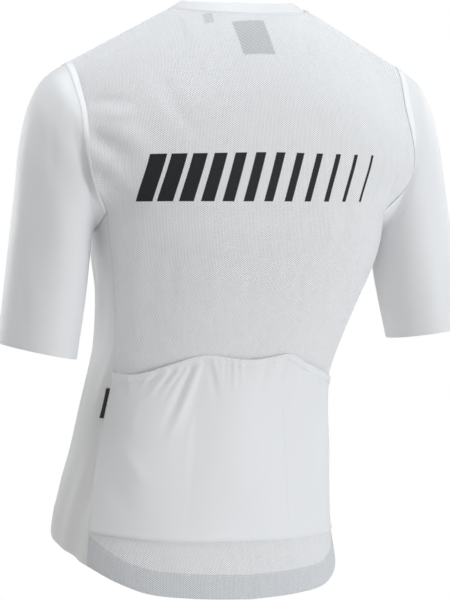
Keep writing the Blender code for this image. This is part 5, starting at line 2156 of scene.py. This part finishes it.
@dataclass
class Sewing:
    """The stitches that show, laid on the finished cloth: their rows' distances from the edges."""

    panels: BodyPanels
    sleeves: Sleeves
    collar: Collar
    pockets: Pockets
    hem_rows: tuple[float, float] = (0.0262, 0.0284)
    beside: float = 0.0022
    collar_row: float = 0.0018
    armhole_rows: tuple[float, float] = (0.0012, -0.0012)
    tack_rises: tuple[float, ...] = (0.0, 0.0009, 0.0018, 0.0027)
    tack_lift: float = 0.0002

    def hems(self) -> list[Line]:
        """The two rows along each hem."""
        patches = [self.panels.back, *self.panels.fronts[Side.LEFT], *self.panels.fronts[Side.RIGHT]]
        return [patch.level_line(up) for patch in patches for up in self.hem_rows]

    def neck(self) -> list[Line]:
        """The row on the collar, the rows round the neck below it, and those beside the shoulder seams."""
        first = self.panels.neck_columns
        back = self.panels.back.level_line(-self.beside)
        left, right = len(back.points) // 2 - first, len(back.points) // 2 + first
        lines = [self.collar.patch.level_line(self.collar_row)]
        lines += [back.cut(slice(left, right + 1)), back.cut(slice(left + 1)), back.cut(slice(right, None))]
        for side in Side:
            edge = self.panels.fronts[side][0].level_line(-self.beside)
            lines.append(edge.cut(slice(0, first + 1) if side is Side.LEFT else slice(-first - 1, None)))
        return lines

    def zip_rows(self) -> list[Line]:
        """The row that sews each front to its zip tape."""
        return [self.panels.fronts[side][0].beside_line(self.beside * side.value) for side in Side]

    def armholes(self) -> list[Line]:
        """The rows along each armhole band's edges."""
        return [self.sleeves.tapes[side].level_line(up) for side in Side for up in self.armhole_rows]

    def pocket_rows(self) -> list[Line]:
        """The two sewn lines, and the row above the foot."""
        patch = self.pockets.patch
        lines = [patch.column_line(column) for column in self.pockets.divider_columns()]
        return [*lines, patch.level_line(self.beside)]

    def binding_rows(self) -> list[Line]:
        """The two rows along the pockets' elastic."""
        return [self.pockets.binding.row_line(row) for row in (1, 3)]

    def tacks(self) -> list[Line]:
        """The bar tacks at the pockets' corners."""
        patch, lines = self.pockets.binding, []
        for column in self.pockets.divider_columns():
            start, end = patch.points[column - 1, 1], patch.points[column + 1, 1]
            out = patch.ways_out()[column, 1]
            rise = unit(patch.points[column, 4] - patch.points[column, 1])
            points = np.array([mix(start, end, share) for share in (0.1, 0.9)])
            for up in self.tack_rises:
                lines.append(Line(points + rise * up + out * self.tack_lift, np.array([out, out])))
        return lines

    def build(self) -> None:
        """Makes the sewing in a piece for each part of the jersey."""
        for stitching, lines, slot in (
            (Stitching("hem_stitches", 0.0027), self.hems(), "tape_white"),
            (Stitching("neck_stitches", 0.0025), self.neck(), "tape_white"),
            (Stitching("zip_edge_stitches", 0.0026), self.zip_rows(), "tape_white"),
            (Stitching("armhole_stitches", 0.0024, thread=0.00016), self.armholes(), "tape_white"),
            (Stitching("pocket_stitches", 0.0025), self.pocket_rows(), "smooth_white"),
            (Stitching("pocket_edge_stitches", 0.0022), self.binding_rows(), "tape_white"),
            (Stitching("pocket_tacks", 0.0042, 0.95, 0.00026), self.tacks(), "tape_white"),
        ):
            stitching.make(lines, self.panels.finishes.thread, slot)


# The studio


@dataclass(frozen=True)
class Lamp:
    """A square soft light: its place from the jersey's middle as the camera sees it, side and watts."""

    name: str
    right: float
    toward: float
    up: float
    size: float
    power: float


@dataclass(frozen=True)
class Studio:
    """A pale floor, a soft dome of light with five lamps, and the camera.

    The lens is in millimetres on a 36 mm sensor, along the frame's long side. The dome sheds base from
    everywhere, toward from behind the camera and behind from the backdrop, and the floor gives back
    bounce.
    """

    azimuth: float = 158.5
    elevation: float = 1.0
    distance: float = 4.5
    target: tuple[float, float, float] = (0.01244, -0.0049, -0.33779)
    lens: float = 232.2
    floor_height: float = -1.05
    floor_radius: float = 60.0
    base: float = 0.168
    toward: float = 0.3
    behind: float = 0.18
    bounce: float = 0.3
    lamps: tuple[Lamp, ...] = (
        Lamp("key", 2.2, 1.1, 0.1, 1.2, 24.0),
        Lamp("top", 0.0, 0.3, 2.4, 1.6, 36.0),
        Lamp("fill", -1.1, 0.5, 1.1, 0.7, 3.2),
        Lamp("rim", 2.0, -1.8, 0.8, 1.2, 14.0),
        Lamp("edge", -0.65, -0.42, 0.15, 0.4, 1.5),
    )
    white: Colour = (1.0, 1.0, 1.0)
    floor_colour: Colour = (0.5, 0.5, 0.5)
    dome_colour: Colour = (1.0, 0.99, 0.972)
    lamp_colour: Colour = (0.945, 0.972, 1.0)

    def view_axes(self) -> tuple[Vector, Vector]:
        """The camera's way back from the jersey and its right."""
        a, e = math.radians(self.azimuth), math.radians(self.elevation)
        back = Vector((math.sin(a) * math.cos(e), -math.cos(a) * math.cos(e), math.sin(e)))
        return back, Vector((math.cos(a), math.sin(a), 0))

    def stand(self, name: str, data: bpy.types.ID, place: Vector, away: Vector) -> Object:
        """Stands a camera or a lamp in the studio.

        Args:
            name: The object's name.
            data: The camera or the light.
            place: Where it stands.
            away: The way that it looks.

        Returns:
            The object.
        """
        obj = bpy.data.objects.new(name, data)
        obj.location = place
        obj.rotation_mode = "QUATERNION"
        obj.rotation_quaternion = away.to_track_quat("-Z", "Y")
        bpy.context.scene.collection.objects.link(obj)
        return obj

    def camera(self) -> None:
        """Makes the camera."""
        data = bpy.data.cameras.new("camera")
        data.lens = self.lens
        data.sensor_width = 36.0
        data.sensor_fit = "AUTO"
        data.clip_end = 200.0
        back, _ = self.view_axes()
        place = Vector(self.target) + back * self.distance
        bpy.context.scene.camera = self.stand("camera", data, place, -back)

    def light(self, lamp: Lamp) -> None:
        """Hangs a lamp."""
        data = bpy.data.lights.new(lamp.name, "AREA")
        data.size, data.energy, data.color = lamp.size, lamp.power, self.lamp_colour
        back, side = self.view_axes()
        level = Vector((back.x, back.y, 0)).normalized()
        target = Vector(self.target)
        place = target + side * lamp.right + level * lamp.toward + Vector((0, 0, lamp.up))
        self.stand(lamp.name, data, place, target - place).visible_camera = False

    def seen_as_white(self, tree: NodeTree, lit: Socket, out: Socket) -> None:
        """Shows plain white to the camera in place of a shader that lights the jersey.

        Args:
            tree: The node tree.
            lit: The shader that lights the jersey.
            out: The output that takes the mixed shader.
        """
        white = add_node(tree, "Emission", {"Color": self.white}).outputs[0]
        seen = add_node(tree, "LightPath").outputs["Is Camera Ray"]
        feed(out, add_node(tree, "MixShader", {0: seen, 1: lit, 2: white}).outputs[0])

    def floor(self) -> None:
        """Lays the pale floor, which is clear from below."""
        bm = bmesh.new()
        bmesh.ops.create_circle(bm, cap_ends=True, segments=96, radius=self.floor_radius)
        bmesh.ops.translate(bm, verts=bm.verts, vec=(0, 0, self.floor_height))
        dye = Dye("pale_floor")
        dye.shade(self.floor_colour, 0.9)
        feed(dye.shader.inputs["Emission Color"], self.dome_colour)
        feed(dye.shader.inputs["Emission Strength"], self.bounce)
        last = dye.tree.nodes["Material Output"].inputs[0]
        self.seen_as_white(dye.tree, dye.shader.outputs[0], last)
        shown = last.links[0].from_socket
        below = add_node(dye.tree, "NewGeometry").outputs["Backfacing"]
        clear = add_node(dye.tree, "BsdfTransparent").outputs[0]
        feed(last, add_node(dye.tree, "MixShader", {0: below, 1: shown, 2: clear}).outputs[0])
        new_object("floor", bm, dye.material)

    def dome(self) -> None:
        """Makes the dome of light round the jersey."""
        world = bpy.data.worlds.new("studio")
        bpy.context.scene.world = world
        world.use_nodes = True
        tree = world.node_tree
        way = add_node(tree, "TexCoord").outputs["Generated"]
        back, _ = self.view_axes()
        total = self.base
        for axis, share in ((back, self.toward), (-back, self.behind)):
            dot = add_node(tree, "VectorMath", {0: way, 1: axis}, operation="DOT_PRODUCT").outputs["Value"]
            total = Value(dot).math("MAXIMUM", 0.0) * share + total
        light = tree.nodes["Background"]
        feed(light.inputs["Color"], self.dome_colour)
        feed(light.inputs["Strength"], total)
        self.seen_as_white(tree, light.outputs[0], tree.nodes["World Output"].inputs[0])

    def build(self) -> None:
        """Makes the studio."""
        bpy.context.scene.view_settings.view_transform = "Standard"
        self.dome()
        for lamp in self.lamps:
            self.light(lamp)
        self.floor()
        self.camera()


# The whole jersey


def main() -> None:
    """Builds the jersey and its studio around the frame."""
    logging.basicConfig(level=logging.INFO, format="%(name)s: %(message)s")
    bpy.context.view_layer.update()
    looks = bpy.data.collections.new(COLLECTION)
    bpy.context.scene.collection.children.link(looks)
    finishes = Finishes()
    panels = BodyPanels(JerseyForm(), finishes)
    panels.build()
    sleeves = Sleeves(panels)
    sleeves.build()
    collar = Collar(panels)
    collar.build()
    pockets = Pockets(panels)
    pockets.build()
    HemFacing(panels).build()
    Labels(panels).build()
    Zip(panels, collar).build()
    Sewing(panels, sleeves, collar, pockets).build()
    Studio().build()
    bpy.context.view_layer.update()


if __name__ == "__main__":
    main()
